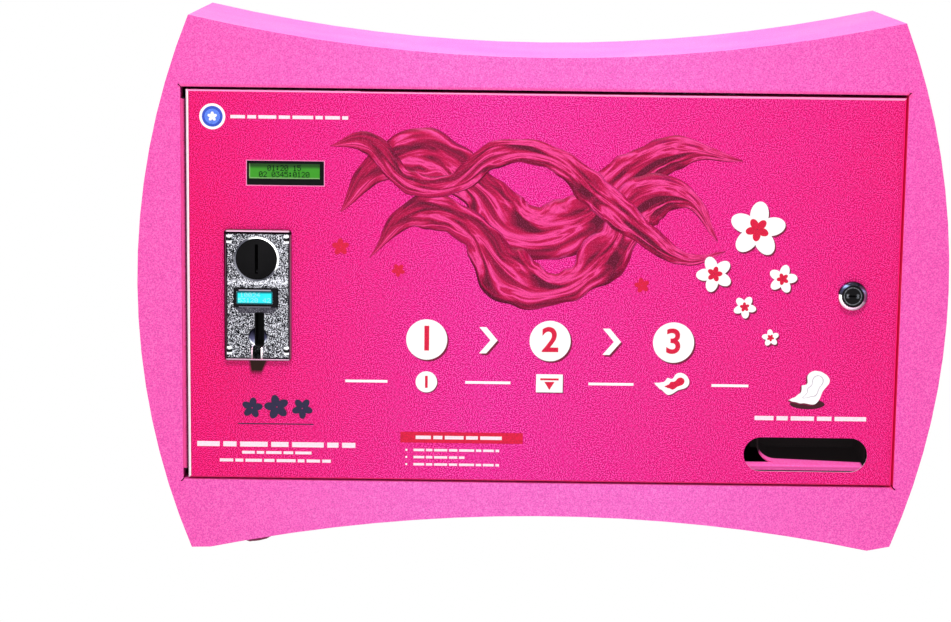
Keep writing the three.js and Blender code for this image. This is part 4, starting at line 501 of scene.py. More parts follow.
def plug_moulding(name):
    """Black key plug with painted highlights: a bright ring near its rim and a bright spot at each end of the keyway.
    """
    coat = Coat(name, gloss=0.08)
    low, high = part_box("lock_plug")
    middle, radius = (low + high) / 2, (high.x - low.x) / 2
    fine = coat.grain(0.0012, detail=3)
    beside, above = abs(coat.x - middle.x), abs(coat.z - middle.z)
    away = coat.add(MATH, beside * beside + above * above, operation="SQRT")
    ring = coat.add(RANGE, abs(away - radius * 0.78), 0.0006, 0.0002)
    spots = coat.add(RANGE, abs(beside - radius * 0.45), 0.0016, 0.0006) * coat.add(RANGE, above, 0.0024, 0.0012)
    wear_and_highlight = ring.larger(spots) * coat.add(RANGE, fine, 0.4, 0.62, 0.25, 1)
    tone = coat.lay("#0A090C", (wear_and_highlight, "#8E9098"))
    return coat.done(fine, 0.02, 0.3, Base_Color=tone, Roughness=(fine, *MOST, 0.3, 0.4))


def hinge_coat(name, paint):
    """Powder coat of the hinge, shaded towards the door by the narrow gap, and glowing faintly as painted light."""
    coat = Coat(name, gloss=0.08, Roughness=0.5, **{"Emission Strength": 0.15})
    fine = coat.grain(paint.orange_peel)
    into = coat.add(RANGE, coat.x, SHEET_LOW.x - 0.007, SHEET_LOW.x - 0.0022)
    stops = ((0.1, "#F66CB8"), (0.4, "#DE4488"), (0.7, "#C43A70"), (0.8, "#5A0020"), (1.0, "#3A0016"))
    grains = coat.add(RANGE, fine, *UPPER, 0, 0.3), paint.paint
    tone = coat.lay(coat.add(RAMP, into, stops=stops), grains)
    return coat.done(fine, 0.04, 0.4, Base_Color=tone, Emission_Color=tone)


def lit_ground(name, tint, node, shade_share, glow, edge_glint=0.0, border=None):
    """Backlit display ground: brighter at its ends, shaded along the top by the bezel, with faint dot rows."""
    coat = Coat(name, gloss=0.1, Roughness=0.12, **{"Emission Strength": glow})
    add = coat.add
    low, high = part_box(node)
    height, along = add(RANGE, coat.z, low.z, high.z), add(RANGE, coat.x, low.x, high.x)
    glint = add(RANGE, along, 0.018, 0.008).larger((height, 0.09, 0.05))
    tone = coat.lay(
        tint,
        ((abs(along - 0.5), 0.2, 0.5, 0, 0.7), shaded(tint, 1.15)),
        ((height, 1 - shade_share, 1 - shade_share / 2), shaded(tint, 0.3)),
        (glint * edge_glint, "#A9D98E"),
    )
    # Painted shade round the edge of the ground, under the bezel
    if border:
        tone = coat.lay(tone, ((coat.beyond(node, 0.0012), -0.0002, 0.0002), border))
    rows = add("ShaderNodeTexWave", {"Vector": coat.place, "Scale": 1 / 0.0024}, bands_direction="Z", out="Fac")
    tone = coat.lay(tone, ((rows, 0, 1, 0, 0.12), shaded(tint, 0.3)))
    return coat.done(Base_Color=tone, Emission_Color=tone)


def solder_mask(name):
    """Green solder mask over copper: faint tracks under a glossy coat."""
    coat = Coat(name, gloss=0.3, Roughness=0.3)
    copper = {"Color1": "#1E6A3B", "Color2": "#1A5F35", "Mortar": "#3F8F5A", "Mortar Size": 0.03}
    tracks = coat.add("ShaderNodeTexBrick", {"Vector": coat.place, "Scale": 1 / 0.02, **copper})
    tone = coat.lay(tracks, ((coat.grain(0.002), *UPPER, 0, 0.3), "#12492A"))
    return coat.done(tracks.other("Fac"), 0.03, 0.4, Base_Color=tone)


def ink(name, code, light=1.12, dark=0.8, speck_mm=1.2):
    """Opaque printing ink: nearly even, with the specks of the print."""
    coat = Coat(name, gloss=0.2, Roughness=0.45)
    speck = coat.grain(speck_mm * MM, detail=1)
    darker, paler = (shaded(linear(code), factor) for factor in (dark, light))
    tone = coat.lay(darker, ((speck, 0.35, 0.65), paler))
    return coat.done(speck, 0.01, 0.2, Base_Color=tone)


def folded_ink(name, door_print):
    """Print of satin ribbon: shade and light run along its folds, which drift across the ribbon."""
    coat = Coat(name, gloss=0.1, Roughness=0.45)
    add, dark = coat.add, door_print.ribbon_dark
    along, across = (add("ShaderNodeAttribute", attribute_name=way, out="Fac") for way in ("along", "across"))
    spot = add(VECTOR, (along, 0, 1, 0, 5), (across, 0, 1, 0, 2.6))
    drift = add("ShaderNodeTexNoise", {"Vector": spot, "Scale": 1.3, "Detail": 4.0, "Distortion": 1.2})
    speck = coat.grain(door_print.speck, detail=1)
    folds = (
        (0.36, dark), (0.44, "#94093A"), (0.5, door_print.ribbon_mid),
        (0.57, door_print.ribbon_light), (0.62, door_print.ribbon_mid), (0.72, "#8E0A4A"),
    )
    tone = coat.lay(
        add(RAMP, drift, stops=folds),
        ((abs(across - 0.5), 0.42, 0.5, 0, 0.6), dark),
        ((speck, 0.5, 0.75, 0, 0.22), "#FF62AE"),
        ((speck, 0.5, 0.25, 0, 0.35), dark),
    )
    return coat.done(speck, 0.01, 0.2, Base_Color=tone)


def finish(name):
    """The finish of that name, made once."""
    if name in bpy.data.materials:
        return bpy.data.materials[name]
    paint, door_print = bpy.context.scene.machine_finish, bpy.context.scene.machine_print
    maker, *values = {
        "pink_powder_coat": (powder_coat, paint),
        "front_powder_coat": (powder_coat, paint, None, FLANGE_END),
        "back_powder_coat": (powder_coat, paint, "#1B181A"),
        "chute_powder_coat": (chute_coat, paint),
        "hinge_powder_coat": (hinge_coat, paint),
        "white_powder_coat": (door_coat, paint, door_print),
        "printed_vinyl": (printed_film, door_print),
        "galvanised_steel": (galvanised_sheet,),
        "brushed_stainless": (plain_metal, "#C9CBCF", 0.24, 0.5, 0.08, (0.04, 1, 1)),
        "zinc_plated_steel": (plain_metal, "#B9BCC1", 0.3, 1.2),
        "blackened_steel": (plain_metal, "#2A2226", 0.4, 1.2),
        "bolt_chrome": (polished_metal, 0.12, bolt_bands),
        "lock_chrome": (polished_metal, 0.15, lock_bands),
        "lip_chrome": (polished_metal, 0.15, lip_bands),
        "hammered_zinc": (hammered_plate,),
        "cast_zinc_alloy": (plain_metal, "#A6A9AD", 0.42, 1.5, 0.12, (1, 1, 1), 0.05),
        "plated_motor_steel": (plain_metal, "#A9ADB2", 0.28, 0.5, 0.08, (1, 1, 0.05)),
        "gloss_black_abs": (moulding, "#0A090B", 0.4, 1.6, 0.05),
        "bezel_abs": (bezel_moulding,),
        "plug_abs": (plug_moulding,),
        "matt_black_nylon": (moulding, "#1C1B1F", 0.5),
        # Painted shade: the cable gland is coloured the dark maroon of pink paint in shadow
        "maroon_nylon": (moulding, "#7C2A50", 0.5, 1.2),
        "grey_abs": (moulding, "#343438", 0.5),
        "white_acetal": (moulding, "#E9E8E2", 0.4, 1.05),
        "display_ground": (lit_ground, paint.display, "display_glass", 0.36, 0.12, 0.6),
        "window_ground": (lit_ground, paint.window, "coin_window_lens", 0.2, 0.4, 0.0, "#0B5560"),
        "solder_mask": (solder_mask,),
        "white_ink": (ink, "#FFFCFE", 1.0, 0.93),
        "line_ink": (ink, "#FFE6F2", 1.0, 0.86),
        "crimson_ink": (ink, "#D80F3E"),
        "wine_ink": (ink, "#7A0E38"),
        "dark_wine_ink": (ink, "#3E0618"),
        "grey_ink": (ink, "#C9BCC6"),
        "blue_ink": (ink, "#3450C4"),
        "light_blue_ink": (ink, "#5D84EE"),
        "navy_ink": (ink, "#262040"),
        "ribbon_ink": (folded_ink, door_print),
        "lcd_dots": (moulding, "#06140A", 0.4, 1.6, 0.03),
        "window_dots": (ink, "#A9F2F4", 1.05, 0.8, 0.4),
    }[name]
    return maker(name, *values)


CARRIED_FINISHES = {
    "front_powder_coat": ("front_fascia",),
    "pink_powder_coat": ("right_side_panel", "left_side_panel", "top_panel", "bottom_panel"),
    "back_powder_coat": ("back_panel",),
    "hinge_powder_coat": ("hinge_frame_leaf", "hinge_door_leaf"),
    "chute_powder_coat": ("chute_tray",),
    "white_powder_coat": ("door_pan",),
    "printed_vinyl": ("door_graphic_sheet",),
    "galvanised_steel": (
        "lock_keeper", "magazine_shelf", "magazine_channel", "motor_bracket", "power_supply", "coin_box_shelf",
        "door_stiffener_left", "door_stiffener_right",
    ),
    "brushed_stainless": ("ejector_blade", "stack_follower", "coin_box"),
    "blackened_steel": ("hinge_pin",),
    "zinc_plated_steel": ("lock_nut", "lock_cam", "cam_screw", "output_shaft"),
    "bolt_chrome": BOLTS,
    "lock_chrome": ("lock_body",),
    "lip_chrome": ("coin_return_lip",),
    "hammered_zinc": ("coin_faceplate",),
    "cast_zinc_alloy": ("gearbox",),
    "plated_motor_steel": ("motor_can",),
    "gloss_black_abs": ("display_bezel", "coin_return_channel", "coin_release_button"),
    "bezel_abs": ("coin_window_bezel",),
    "plug_abs": ("lock_plug",),
    "maroon_nylon": ("cable_gland_body", "cable_gland_nut"),
    "matt_black_nylon": ("home_switch",),
    "grey_abs": ("coin_acceptor_body",),
    "white_acetal": ("ejector_rack", "drive_pinion", "rack_guide"),
    "display_ground": ("display_glass",),
    "window_ground": ("coin_window_lens",),
    "solder_mask": ("display_board", "control_board"),
}


# Building pieces


def link(name, data, material=None):
    """Puts an object in the scene, in a finish where one is given."""
    piece = bpy.data.objects.new(name, data)
    bpy.context.scene.collection.objects.link(piece)
    if material:
        data.materials.clear()
        data.materials.append(material)
    return piece


def on_body(piece, body):
    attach(piece, body)
    return piece


def settled(source):
    """The mesh that an object makes with its modifiers."""
    bpy.context.view_layer.update()
    return bpy.data.meshes.new_from_object(source.evaluated_get(bpy.context.evaluated_depsgraph_get()))


def printed(name, outlines, layer, finish_name):
    """Print on the door: closed prisms, thin as ink, from outlines in mm, with later layers over earlier ones."""
    shape = bmesh.new()
    for outline in outlines:
        near, far = (
            [shape.verts.new((x * MM, depth, z * MM)) for x, z in outline]
            for depth in (PRINT_FACE - layer * PRINT_LAYER, PRINT_FACE + PRINT_LAYER / 2)
        )
        shape.faces.new(near)
        shape.faces.new(reversed(far))
        for i in range(len(near)):
            j = (i + 1) % len(near)
            shape.faces.new((near[j], near[i], far[i], far[j]))
    bmesh.ops.recalc_face_normals(shape, faces=shape.faces)
    mesh = bpy.data.meshes.new(name)
    shape.to_mesh(mesh)
    shape.free()
    return on_body(link(name, mesh, finish(finish_name)), "door")


def number(text, x, z, height_mm, layer, finish_name):
    """A printed number, centred on (x, z)."""
    name = f"printed_number_{text}"
    curve = bpy.data.curves.new(name, "FONT")
    curve.body, curve.align_x, curve.align_y = text, "CENTER", "CENTER"
    curve.size, curve.extrude, curve.offset = height_mm * MM, PRINT_LAYER / 2, height_mm * MM * 0.02
    holder = link(name, curve)
    mesh = settled(holder)
    bpy.data.objects.remove(holder)
    mesh.transform(Matrix.Rotation(math.pi / 2, 4, "X"))
    mesh.transform(Matrix.Translation((x * MM, PRINT_FACE - layer * PRINT_LAYER, z * MM)))
    return on_body(link(name, mesh, finish(finish_name)), "door")


def ellipse(x, z, half_x, half_z=None, sides=48):
    """An ellipse, or a circle where only one radius is given."""
    half_z = half_z or half_x
    turn = 2 * math.pi / sides
    return [(x + half_x * math.cos(i * turn), z + half_z * math.sin(i * turn)) for i in range(sides)]


def oblong(x0, x1, z0, z1):
    return [(x0, z0), (x1, z0), (x1, z1), (x0, z1)]


def shifted(outline, dx, dz):
    return [(x + dx, z + dz) for x, z in outline]


def tiles_on_points(add, given):
    """Small flat tiles, one on every point: display dots and bullets."""
    return add(SCATTER, {"Points": given["Geometry"], "Instance": add("GeometryNodeMeshCube", given["Tile"])})


def screws_on_points(add, given):
    """Cross-recessed pan head screws, one on every point, facing -Y."""
    radius, height = given["Head Radius"], given["Head Height"]
    screw = add("GeometryNodeMeshCylinder", {"Vertices": 16, "Radius": radius, "Depth": height})
    width, reach = radius * 0.3, radius * 1.2
    for x, y in ((reach, width), (width, reach)):
        arm = add("GeometryNodeMeshCube", add(VECTOR, x, y, height))
        arm = add("GeometryNodeTransform", {"Geometry": arm, "Translation": add(VECTOR, 0, 0, width)})
        screw = add("GeometryNodeMeshBoolean", {"Mesh 1": screw, "Mesh 2": arm}, operation="DIFFERENCE")
    return add(SCATTER, {"Points": given["Geometry"], "Instance": screw, "Rotation": given["Facing"]})


def blossoms_on_points(add, given):
    """Flat blossoms: oval petals set round every point, by the point's own size and tilt."""
    petal = add("GeometryNodeMeshCylinder", {"Vertices": 28, "Radius": 0.5, "Depth": given["Thickness"]})
    outward = add(VECTOR, given["Petal Length"] * 0.55)
    oval = add(VECTOR, given["Petal Length"], given["Petal Width"], 1)
    petal = add("GeometryNodeTransform", {"Geometry": petal, "Translation": outward, "Scale": oval})
    order = add("GeometryNodeInputIndex")
    hub = add("GeometryNodePoints", {"Count": given["Petals"], "Position": add(VECTOR, 0, 0, order * 0.000004)})
    step = add(MATH, 2 * math.pi, given["Petals"], operation="DIVIDE")
    ring = add(SCATTER, {"Points": hub, "Instance": petal, "Rotation": add(VECTOR, 0, 0, order * step)})
    flower = add("GeometryNodeRealizeInstances", ring)
    size, tilt = (
        add("GeometryNodeInputNamedAttribute", {"Name": label}, data_type="FLOAT") for label in ("size", "tilt")
    )
    upright = add("FunctionNodeEulerToRotation", (math.pi / 2, 0, 0))
    roll = add("FunctionNodeAxisAngleToRotation", (0, 0, 1), tilt)
    turn = add("FunctionNodeRotateRotation", upright, roll, rotation_space="LOCAL")
    scale = add(VECTOR, size, size, 1)
    return add(SCATTER, {"Points": given["Geometry"], "Instance": flower, "Rotation": turn, "Scale": scale})


def ribbon_on_path(add, given):
    """A flat ribbon along a path, wide where the path's radius is large, with its own along and across values."""
    keep = partial(add, "GeometryNodeStoreNamedAttribute", data_type="FLOAT")
    along, across = add("GeometryNodeSplineParameter"), add("GeometryNodeSplineParameter")
    path = add("GeometryNodeResampleCurve", {"Curve": given["Geometry"], "Count": given["Steps"]})
    path = keep({"Geometry": path, "Name": "along", "Value": along})
    ripple = {"Vector": add(VECTOR, along), "W": given["Ripple Seed"], "Scale": 9.0, "Detail": 2.0}
    ripple = add("ShaderNodeTexNoise", ripple, noise_dimensions="4D")
    swing = add(RANGE, ripple, *MOST, 1 - given["Ripple"], given["Ripple"] + 1)
    half = given["Width"] * 0.5
    section = add("GeometryNodeCurvePrimitiveLine", add(VECTOR, half * -1), add(VECTOR, half))
    section = add("GeometryNodeResampleCurve", {"Curve": section, "Count": 9})
    section = keep({"Geometry": section, "Name": "across", "Value": across})
    path = add("GeometryNodeSetCurveNormal", path, mode="Z_UP")
    wide = add("GeometryNodeInputRadius") * swing
    satin = add("GeometryNodeCurveToMesh", {"Curve": path, "Profile Curve": section, "Scale": wide})
    return add("GeometryNodeTransform", {"Geometry": satin, "Rotation": (math.pi / 2, 0, 0)})


TREE_INPUTS = {
    tiles_on_points: (("Tile", "Vector", (0.001, 0.0001, 0.001)),),
    screws_on_points: (("Head Radius", "Float", 0.003), ("Head Height", "Float", 0.002), ("Facing", "Rotation")),
    blossoms_on_points: (
        ("Petals", "Int", 5), ("Petal Length", "Float", 0.5), ("Petal Width", "Float", 0.3),
        ("Thickness", "Float", 0.0001),
    ),
    ribbon_on_path: (
        ("Width", "Float", 0.04), ("Steps", "Int", 120), ("Ripple", "Float", 0.2), ("Ripple Seed", "Float", 1.0),
    ),
}


def new_tree(build):
    """A geometry tree with named inputs: what build makes of its source, realized and in its finish."""
    tree = bpy.data.node_groups.new(build.__name__, "GeometryNodeTree")
    tree.interface.new_socket("Geometry", in_out="OUTPUT", socket_type="NodeSocketGeometry")
    for label, kind, *default in (("Geometry", "Geometry"), *TREE_INPUTS[build], ("Finish", "Material")):
        socket = tree.interface.new_socket(label, in_out="INPUT", socket_type=f"NodeSocket{kind}")
        if default:
            socket.default_value = default[0]
    add = partial(add_node, tree)
    given = {socket.name: Output(socket) for socket in add("NodeGroupInput").socket.node.outputs}
    real = add("GeometryNodeRealizeInstances", build(add, given))
    add("NodeGroupOutput", add("GeometryNodeSetMaterial", {"Geometry": real, "Material": given["Finish"]}))
    return tree


def grow(name, source, build, finish_name, values):
    """Runs a geometry tree on a source object and keeps only the mesh it makes."""
    tree = bpy.data.node_groups.get(build.__name__) or new_tree(build)
    values["Finish"] = finish(finish_name)
    modifier = source.modifiers.new(tree.name, "NODES")
    modifier.node_group = tree
    for item in tree.interface.items_tree:
        if item.in_out == "INPUT" and item.name in values:
            modifier[item.identifier] = values[item.name]
    mesh = settled(source)
    bpy.data.objects.remove(source)
    mesh.name = name
    return link(name, mesh)


def points_object(points):
    mesh = bpy.data.meshes.new("marks")
    mesh.from_pydata(points, [], [])
    return link("marks", mesh)


def path_object(points, widths):
    """A smooth path in x and y from (x, z) points in millimetres, with the share of full width at each."""
    curve = bpy.data.curves.new("ribbon_path", "CURVE")
    curve.dimensions = "3D"
    spline = curve.splines.new("BEZIER")
    spline.bezier_points.add(len(points) - 1)
    for point, (x, z), width in zip(spline.bezier_points, points, widths):
        point.co = (x * MM, z * MM, 0)
        point.radius = width
        point.handle_left_type = point.handle_right_type = "AUTO"
    return link("ribbon_path", curve)


def laid(piece, layer):
    """Lays a finished print on the door in its layer."""
    piece.data.transform(Matrix.Translation((0, PRINT_FACE - layer * PRINT_LAYER, 0)))
    return on_body(piece, "door")


# Dots of the numerals 0 to 5 and a colon on a five by seven display cell, row by row from the top
CELLS = {
    "0": ".###. #...# #..## #.#.# ##..# #...# .###.",
    "1": "..#.. .##.. ..#.. ..#.. ..#.. ..#.. .###.",
    "2": ".###. #...# ....# ...#. ..#.. .#... #####",
    "3": "##### ...#. ..#.. ...#. ....# #...# .###.",
    "4": "...#. ..##. .#.#. #..#. ##### ...#. ...#.",
    "5": "##### #.... ####. ....# ....# #...# .###.",
    ":": "..... .##.. .##.. ..... .##.. .##.. .....",
    " ": "..... ..... ..... ..... ..... ..... .....",
}


def dots(lines, x, z, pitch_x, pitch_z, cell_width, line_height, depth):
    """Points of the lit dots of centred lines of numerals about (x, z)."""
    points = []
    for row, line in enumerate(lines):
        left = x - (len(line) * cell_width - pitch_x) / 2
        top = z + (len(lines) * line_height) / 2 - row * line_height - pitch_z
        for column, sign in enumerate(line):
            for down, strip in enumerate(CELLS[sign].split()):
                for over, mark in enumerate(strip):
                    if mark == "#":
                        points.append((left + column * cell_width + over * pitch_x, depth, top - down * pitch_z))
    return points


# Half widths of the pad in mm by share of its length: a round head, a waist, wings and a tail
PAD_HALF_WIDTHS = ((0.2, 11.2), (0.42, 8.6), (0.64, 11.4), (0.82, 5), (0.94, 2), (1, 0))


def pad_half_width(share):
    """Half the width of the pad at a share of its length, with level tangents at each listed width."""
    head_end, head = PAD_HALF_WIDTHS[0]
    if share < head_end:
        return head * math.sqrt(max(0.0, 1 - (1 - share / head_end) ** 2))
    pairs = zip(PAD_HALF_WIDTHS, PAD_HALF_WIDTHS[1:])
    (a, before), (b, after) = next(pair for pair in pairs if share <= pair[1][0])
    t = (share - a) / (b - a)
    return before + (after - before) * t * t * (3 - 2 * t)


def pad_outline(bends, slim=1.0, start=0.0, end=1.0, steps=48):
    """A curled pad with a round head, a waist, wide wings and a thin tail, along a Bezier line through four bends."""
    near, far = [], []
    for i in range(steps + 1):
        t = start + (end - start) * i / steps
        u = 1 - t
        x, z = (u**3 * a + 3 * t * u**2 * b + 3 * t * t * u * c + t**3 * d for a, b, c, d in zip(*bends))
        slopes = [u**2 * (b - a) + 2 * t * u * (c - b) + t * t * (d - c) for a, b, c, d in zip(*bends)]
        half = pad_half_width(i / steps) * slim
        across, along = (slope / math.hypot(*slopes) * half for slope in slopes)
        near.append((x - along, z + across))
        far.append((x + along, z - across))
    return near + far[-2:0:-1]


# Lengths of words, as multiples of the height of their type
WORDS = (4.4, 2.6, 5.4, 3.4, 6.2, 2.2)


def word_bars(x0, x1, z, height):
    """A line of type stood for by plain bars as long as words."""
    bars, x, count = [], x0, 0
    while x < x1 - height:
        end = x + WORDS[count % len(WORDS)] * height
        end = x1 if end > x1 - 1.5 * height else end
        bars.append(oblong(x, end, z - height / 2, z + height / 2))
        x, count = end + 0.7 * height, count + 1
    return bars


def corners(node, inset, depth):
    """The four corners of a node's front outline drawn in by inset."""
    low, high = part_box(node)
    return [(x, depth, z) for x in (low.x + inset, high.x - inset) for z in (low.z + inset, high.z - inset)]


def seen_white(tree):
    """1 where a camera, glossy or transmission ray looks."""
    camera = add_node(tree, "ShaderNodeLightPath", out="Is Camera Ray")
    return camera.larger(camera.other("Is Glossy Ray")).larger(camera.other("Is Transmission Ray"))


# Operators


class MACHINE_OT_finishes(bpy.types.Operator):
    """Gives every carried CAD node its finish"""

    bl_idname = "machine.finishes"
    bl_label = "Finishes"
    bl_options = {"REGISTER", "UNDO"}

    def execute(self, context):
        bare = set(NODES)
        for finish_name, names in CARRIED_FINISHES.items():
            for name in names:
                materials = NODES[name].data.materials
                materials.clear()
                materials.append(finish(finish_name))
            bare -= set(names)
        if bare:
            raise RuntimeError(f"nodes without a finish: {sorted(bare)}")
        return {"FINISHED"}


class MACHINE_OT_ribbons(bpy.types.Operator):
    """Prints the satin ribbons on the door"""

    bl_idname = "machine.ribbons"
    bl_label = "Ribbons"
    bl_options = {"REGISTER", "UNDO"}

    def execute(self, context):
        # Points in mm, share of the full width at each, full width in mm, ripple and its seed
        ribbons = (
            (
                (
                    (-196, 74), (-160, 118), (-112, 130), (-64, 98), (-22, 58),
                    (30, 66), (78, 108), (128, 136), (190, 128),
                ),
                (0.02, 0.55, 0.9, 0.7, 1.1, 0.8, 0.9, 0.5, 0.02),
                58, 0.3, 3.1,
            ),
            (
                ((-168, 30), (-124, 74), (-74, 62), (-32, 14), (16, 2), (64, 40), (96, 88), (136, 92), (168, 50)),
                (0.02, 0.5, 0.9, 1.1, 0.7, 0.9, 1.0, 0.5, 0.02),
                48, 0.35, 7.7,
            ),
            (
                (
                    (-206, 138), (-172, 142), (-130, 104), (-90, 102), (-46, 132),
                    (4, 130), (54, 92), (98, 56), (140, 32), (176, 40),
                ),
                (0.02, 0.6, 0.9, 0.5, 0.9, 0.6, 1.0, 0.8, 0.4, 0.02),
                32, 0.35, 12.4,
            ),
        )
        for layer, (points, widths, width, ripple, seed) in enumerate(ribbons, 1):
            values = {"Width": width * MM, "Steps": 110, "Ripple": ripple, "Ripple Seed": seed}
            path = path_object(points, widths)
            piece = grow(f"printed_ribbon_{layer}", path, ribbon_on_path, "ribbon_ink", values)
            solid = piece.modifiers.new("thickness", "SOLIDIFY")
            solid.thickness, solid.offset = PRINT_LAYER / 2, 0
            mesh = settled(piece)
            piece.modifiers.clear()
            piece.data = mesh
            laid(piece, layer)
        return {"FINISHED"}


class MACHINE_OT_blossoms(bpy.types.Operator):
    """Prints blossoms beside the ribbons, and the small dark ones in the lower left corner"""

    bl_idname = "machine.blossoms"
    bl_label = "Blossoms"
    bl_options = {"REGISTER", "UNDO"}

    def execute(self, context):
        # Blossoms as x, z and radius in mm, and tilt in degrees
        sprig = [(206, 62, 29, 12), (166, 18, 19, 40), (232, 14, 15, 5), (196, -14, 12, 60), (222, -44, 9, 25)]
        shades = [(x + 1.2, z - 1.6, radius, tilt) for x, z, radius, tilt in sprig]
        hearts = [(x, z, radius * 0.42, tilt + 36) for x, z, radius, tilt in sprig]
        corner = [(-282, -120, 11, 10), (-258, -119, 13, 30), (-233, -120, 11, 55)]
        groups = (
            ("printed_blossom_shades", "wine_ink", 4, shades),
            ("printed_blossoms", "white_ink", 5, sprig),
            ("printed_blossom_hearts", "crimson_ink", 6, hearts),
            ("printed_small_blossoms", "crimson_ink", 5, [(-196, 40, 9, 20), (-140, 18, 7, 50), (96, 6, 8, 30)]),
            ("printed_dark_blossoms", "navy_ink", 5, corner),
            ("printed_badge_blossom", "white_ink", 7, [(-319.3, 164.9, 5, 18)]),
        )
        for name, finish_name, layer, spots in groups:
            source = points_object([(x * MM, 0, z * MM) for x, z, _, _ in spots])
            for label, column, unit in (("size", 2, MM), ("tilt", 3, math.radians(1))):
                values = source.data.attributes.new(label, "FLOAT", "POINT")
                values.data.foreach_set("value", [spot[column] * unit for spot in spots])
            shape = {"Petals": context.scene.machine_print.petals, "Petal Length": 0.9, "Petal Width": 0.62}
            shape["Thickness"] = PRINT_LAYER
            laid(grow(name, source, blossoms_on_points, finish_name, shape), layer)
        return {"FINISHED"}


class MACHINE_OT_print_marks(bpy.types.Operator):
    """Prints the numbered steps, pictograms, band, rules and badge on the door"""

    bl_idname = "machine.print_marks"
    bl_label = "Print marks"
    bl_options = {"REGISTER", "UNDO"}

    def execute(self, context):
        radius = context.scene.machine_print.disc_radius / MM
        first, second, third = steps = (-112.0, 8.0, 128.0)
        row, low_row = -50.0, -92.0
        discs = [ellipse(x, row, radius) for x in steps]
        chevron = [(-9, -13), (-2, -13), (9, 0), (-2, 13), (-9, 13), (2, 0)]
        marks = discs + [shifted(chevron, x, row) for x in (-52, 68)]
        printed("printed_step_shades", [shifted(mark, 1.6, -1.8) for mark in marks], 1, "wine_ink")
        printed("printed_step_discs", marks, 2, "white_ink")
        for text, x in zip("123", steps):
            number(text, x, row, 34, 4, "crimson_ink")

        bends = [(14, 9), (5, 1), (-3, -6), (-18, 2)]
        coin, box = ellipse(first, low_row, 10.5), oblong(second - 13, second + 13, -101, -83)
        signs = [coin, box, shifted(pad_outline(bends, 0.75), third, low_row)]
        printed("printed_pictogram_shades", [shifted(sign, 0.9, -1) for sign in signs], 1, "wine_ink")
        printed("printed_pictograms", signs, 2, "white_ink")
        slot = oblong(first - 1.3, first + 1.3, -98, -86)
        lid = oblong(second - 9, second + 9, -89, -87)
        drop = shifted([(-5, 4), (5, 4), (0, -4)], second, -94.5)
        core = shifted(pad_outline(bends, 0.35, 0.12, 0.75), third, low_row)
        printed("printed_pictogram_details", [slot, lid, drop, core], 3, "crimson_ink")

        bends = [(272.5, -77), (268, -89), (268, -105), (241.5, -105.5)]
        printed("printed_napkin_ground_shade", [ellipse(260, -109.5, 17, 5, 40)], 1, "dark_wine_ink")
        printed("printed_napkin_shade", [shifted(pad_outline(bends), -1.4, -1.2)], 1.5, "wine_ink")
        printed("printed_napkin", [pad_outline(bends)], 2, "white_ink")
        printed("printed_napkin_core", [pad_outline(bends, 0.5, 0.1, 0.8)], 3, "grey_ink")
        printed("printed_napkin_face", [pad_outline(bends, 0.42, 0.12, 0.78)], 4, "white_ink")

        printed("printed_band", [oblong(-137, -17, -153, -142)], 1, "crimson_ink")
        printed("printed_badge_rim", [ellipse(-319.3, 164.9, 12.5)], 1, "white_ink")
        printed("printed_badge", [ellipse(-319.3, 164.9, 10)], 2, "blue_ink")
        printed("printed_badge_light", [ellipse(-319.3, 164.9, 7.4)], 3, "light_blue_ink")

        lines = (
            (-302, -189, 164.9, 3.2),
            (-336, -181, -156.5, 5.0),
            (-292, -224, -164.7, 2.8),
            (-314, -205, -172.7, 3.0),
            (-122, -32, -147.5, 3.4),
            (-124, -40, -160.2, 2.4),
            (-124, -74, -167.4, 2.4),
            (-124, -40, -174.6, 2.4),
            (209, 318, -123.8, 4.2),
        )
        printed("printed_lines", [bar for line in lines for bar in word_bars(*line)], 3, "line_ink")
        rules = ((-191, -150), (-74, -30), (46, 90), (166, 202))
        printed("printed_rules", [oblong(x0, x1, -93.3, -90.7) for x0, x1 in rules], 3, "white_ink")
        printed("printed_fine_rule", [oblong(-296, -222, -136.4, -135.4)], 2, "navy_ink")

        bullets = points_object([(-131 * MM, PRINT_FACE - PRINT_LAYER, z * MM) for z in (-160.2, -167.4, -174.6)])
        tile = {"Tile": (1.8 * MM, PRINT_LAYER, 1.8 * MM)}
        on_body(grow("printed_bullets", bullets, tiles_on_points, "white_ink", tile), "door")
        return {"FINISHED"}


class MACHINE_OT_display_dots(bpy.types.Operator):
    """Shows numbers on the stock display and the coin window"""

    bl_idname = "machine.display_dots"
    bl_label = "Display dots"
    bl_options = {"REGISTER", "UNDO"}

    def execute(self, context):
        # Lines of text, then the two pitches of the dots, cell width, line height and dot width in mm
        stock = ("01:20 15", "02 0345:0120"), 0.72, 0.78, 4.1, 6.3, 0.74
        coins = ("10024  ", "53120 42"), 0.66, 0.62, 4.0, 5.2, 0.56
        shown = (
            ("display_dots", "display_glass", "lcd_dots", "display_glass", *stock),
            ("window_dots", "coin_window_lens", "window_dots", "window_lens", *coins),
        )
        for name, node, finish_name, slot, lines, *sizes_mm in shown:
            low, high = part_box(node)
            middle = (low + high) / 2
            *spacing, size = (value * MM for value in sizes_mm)
            source = points_object(dots(lines, middle.x, middle.z, *spacing, low.y - 0.00005))
            piece = grow(name, source, tiles_on_points, finish_name, {"Tile": (size, 0.0002, size)})
            on_body(piece, "door")
        return {"FINISHED"}


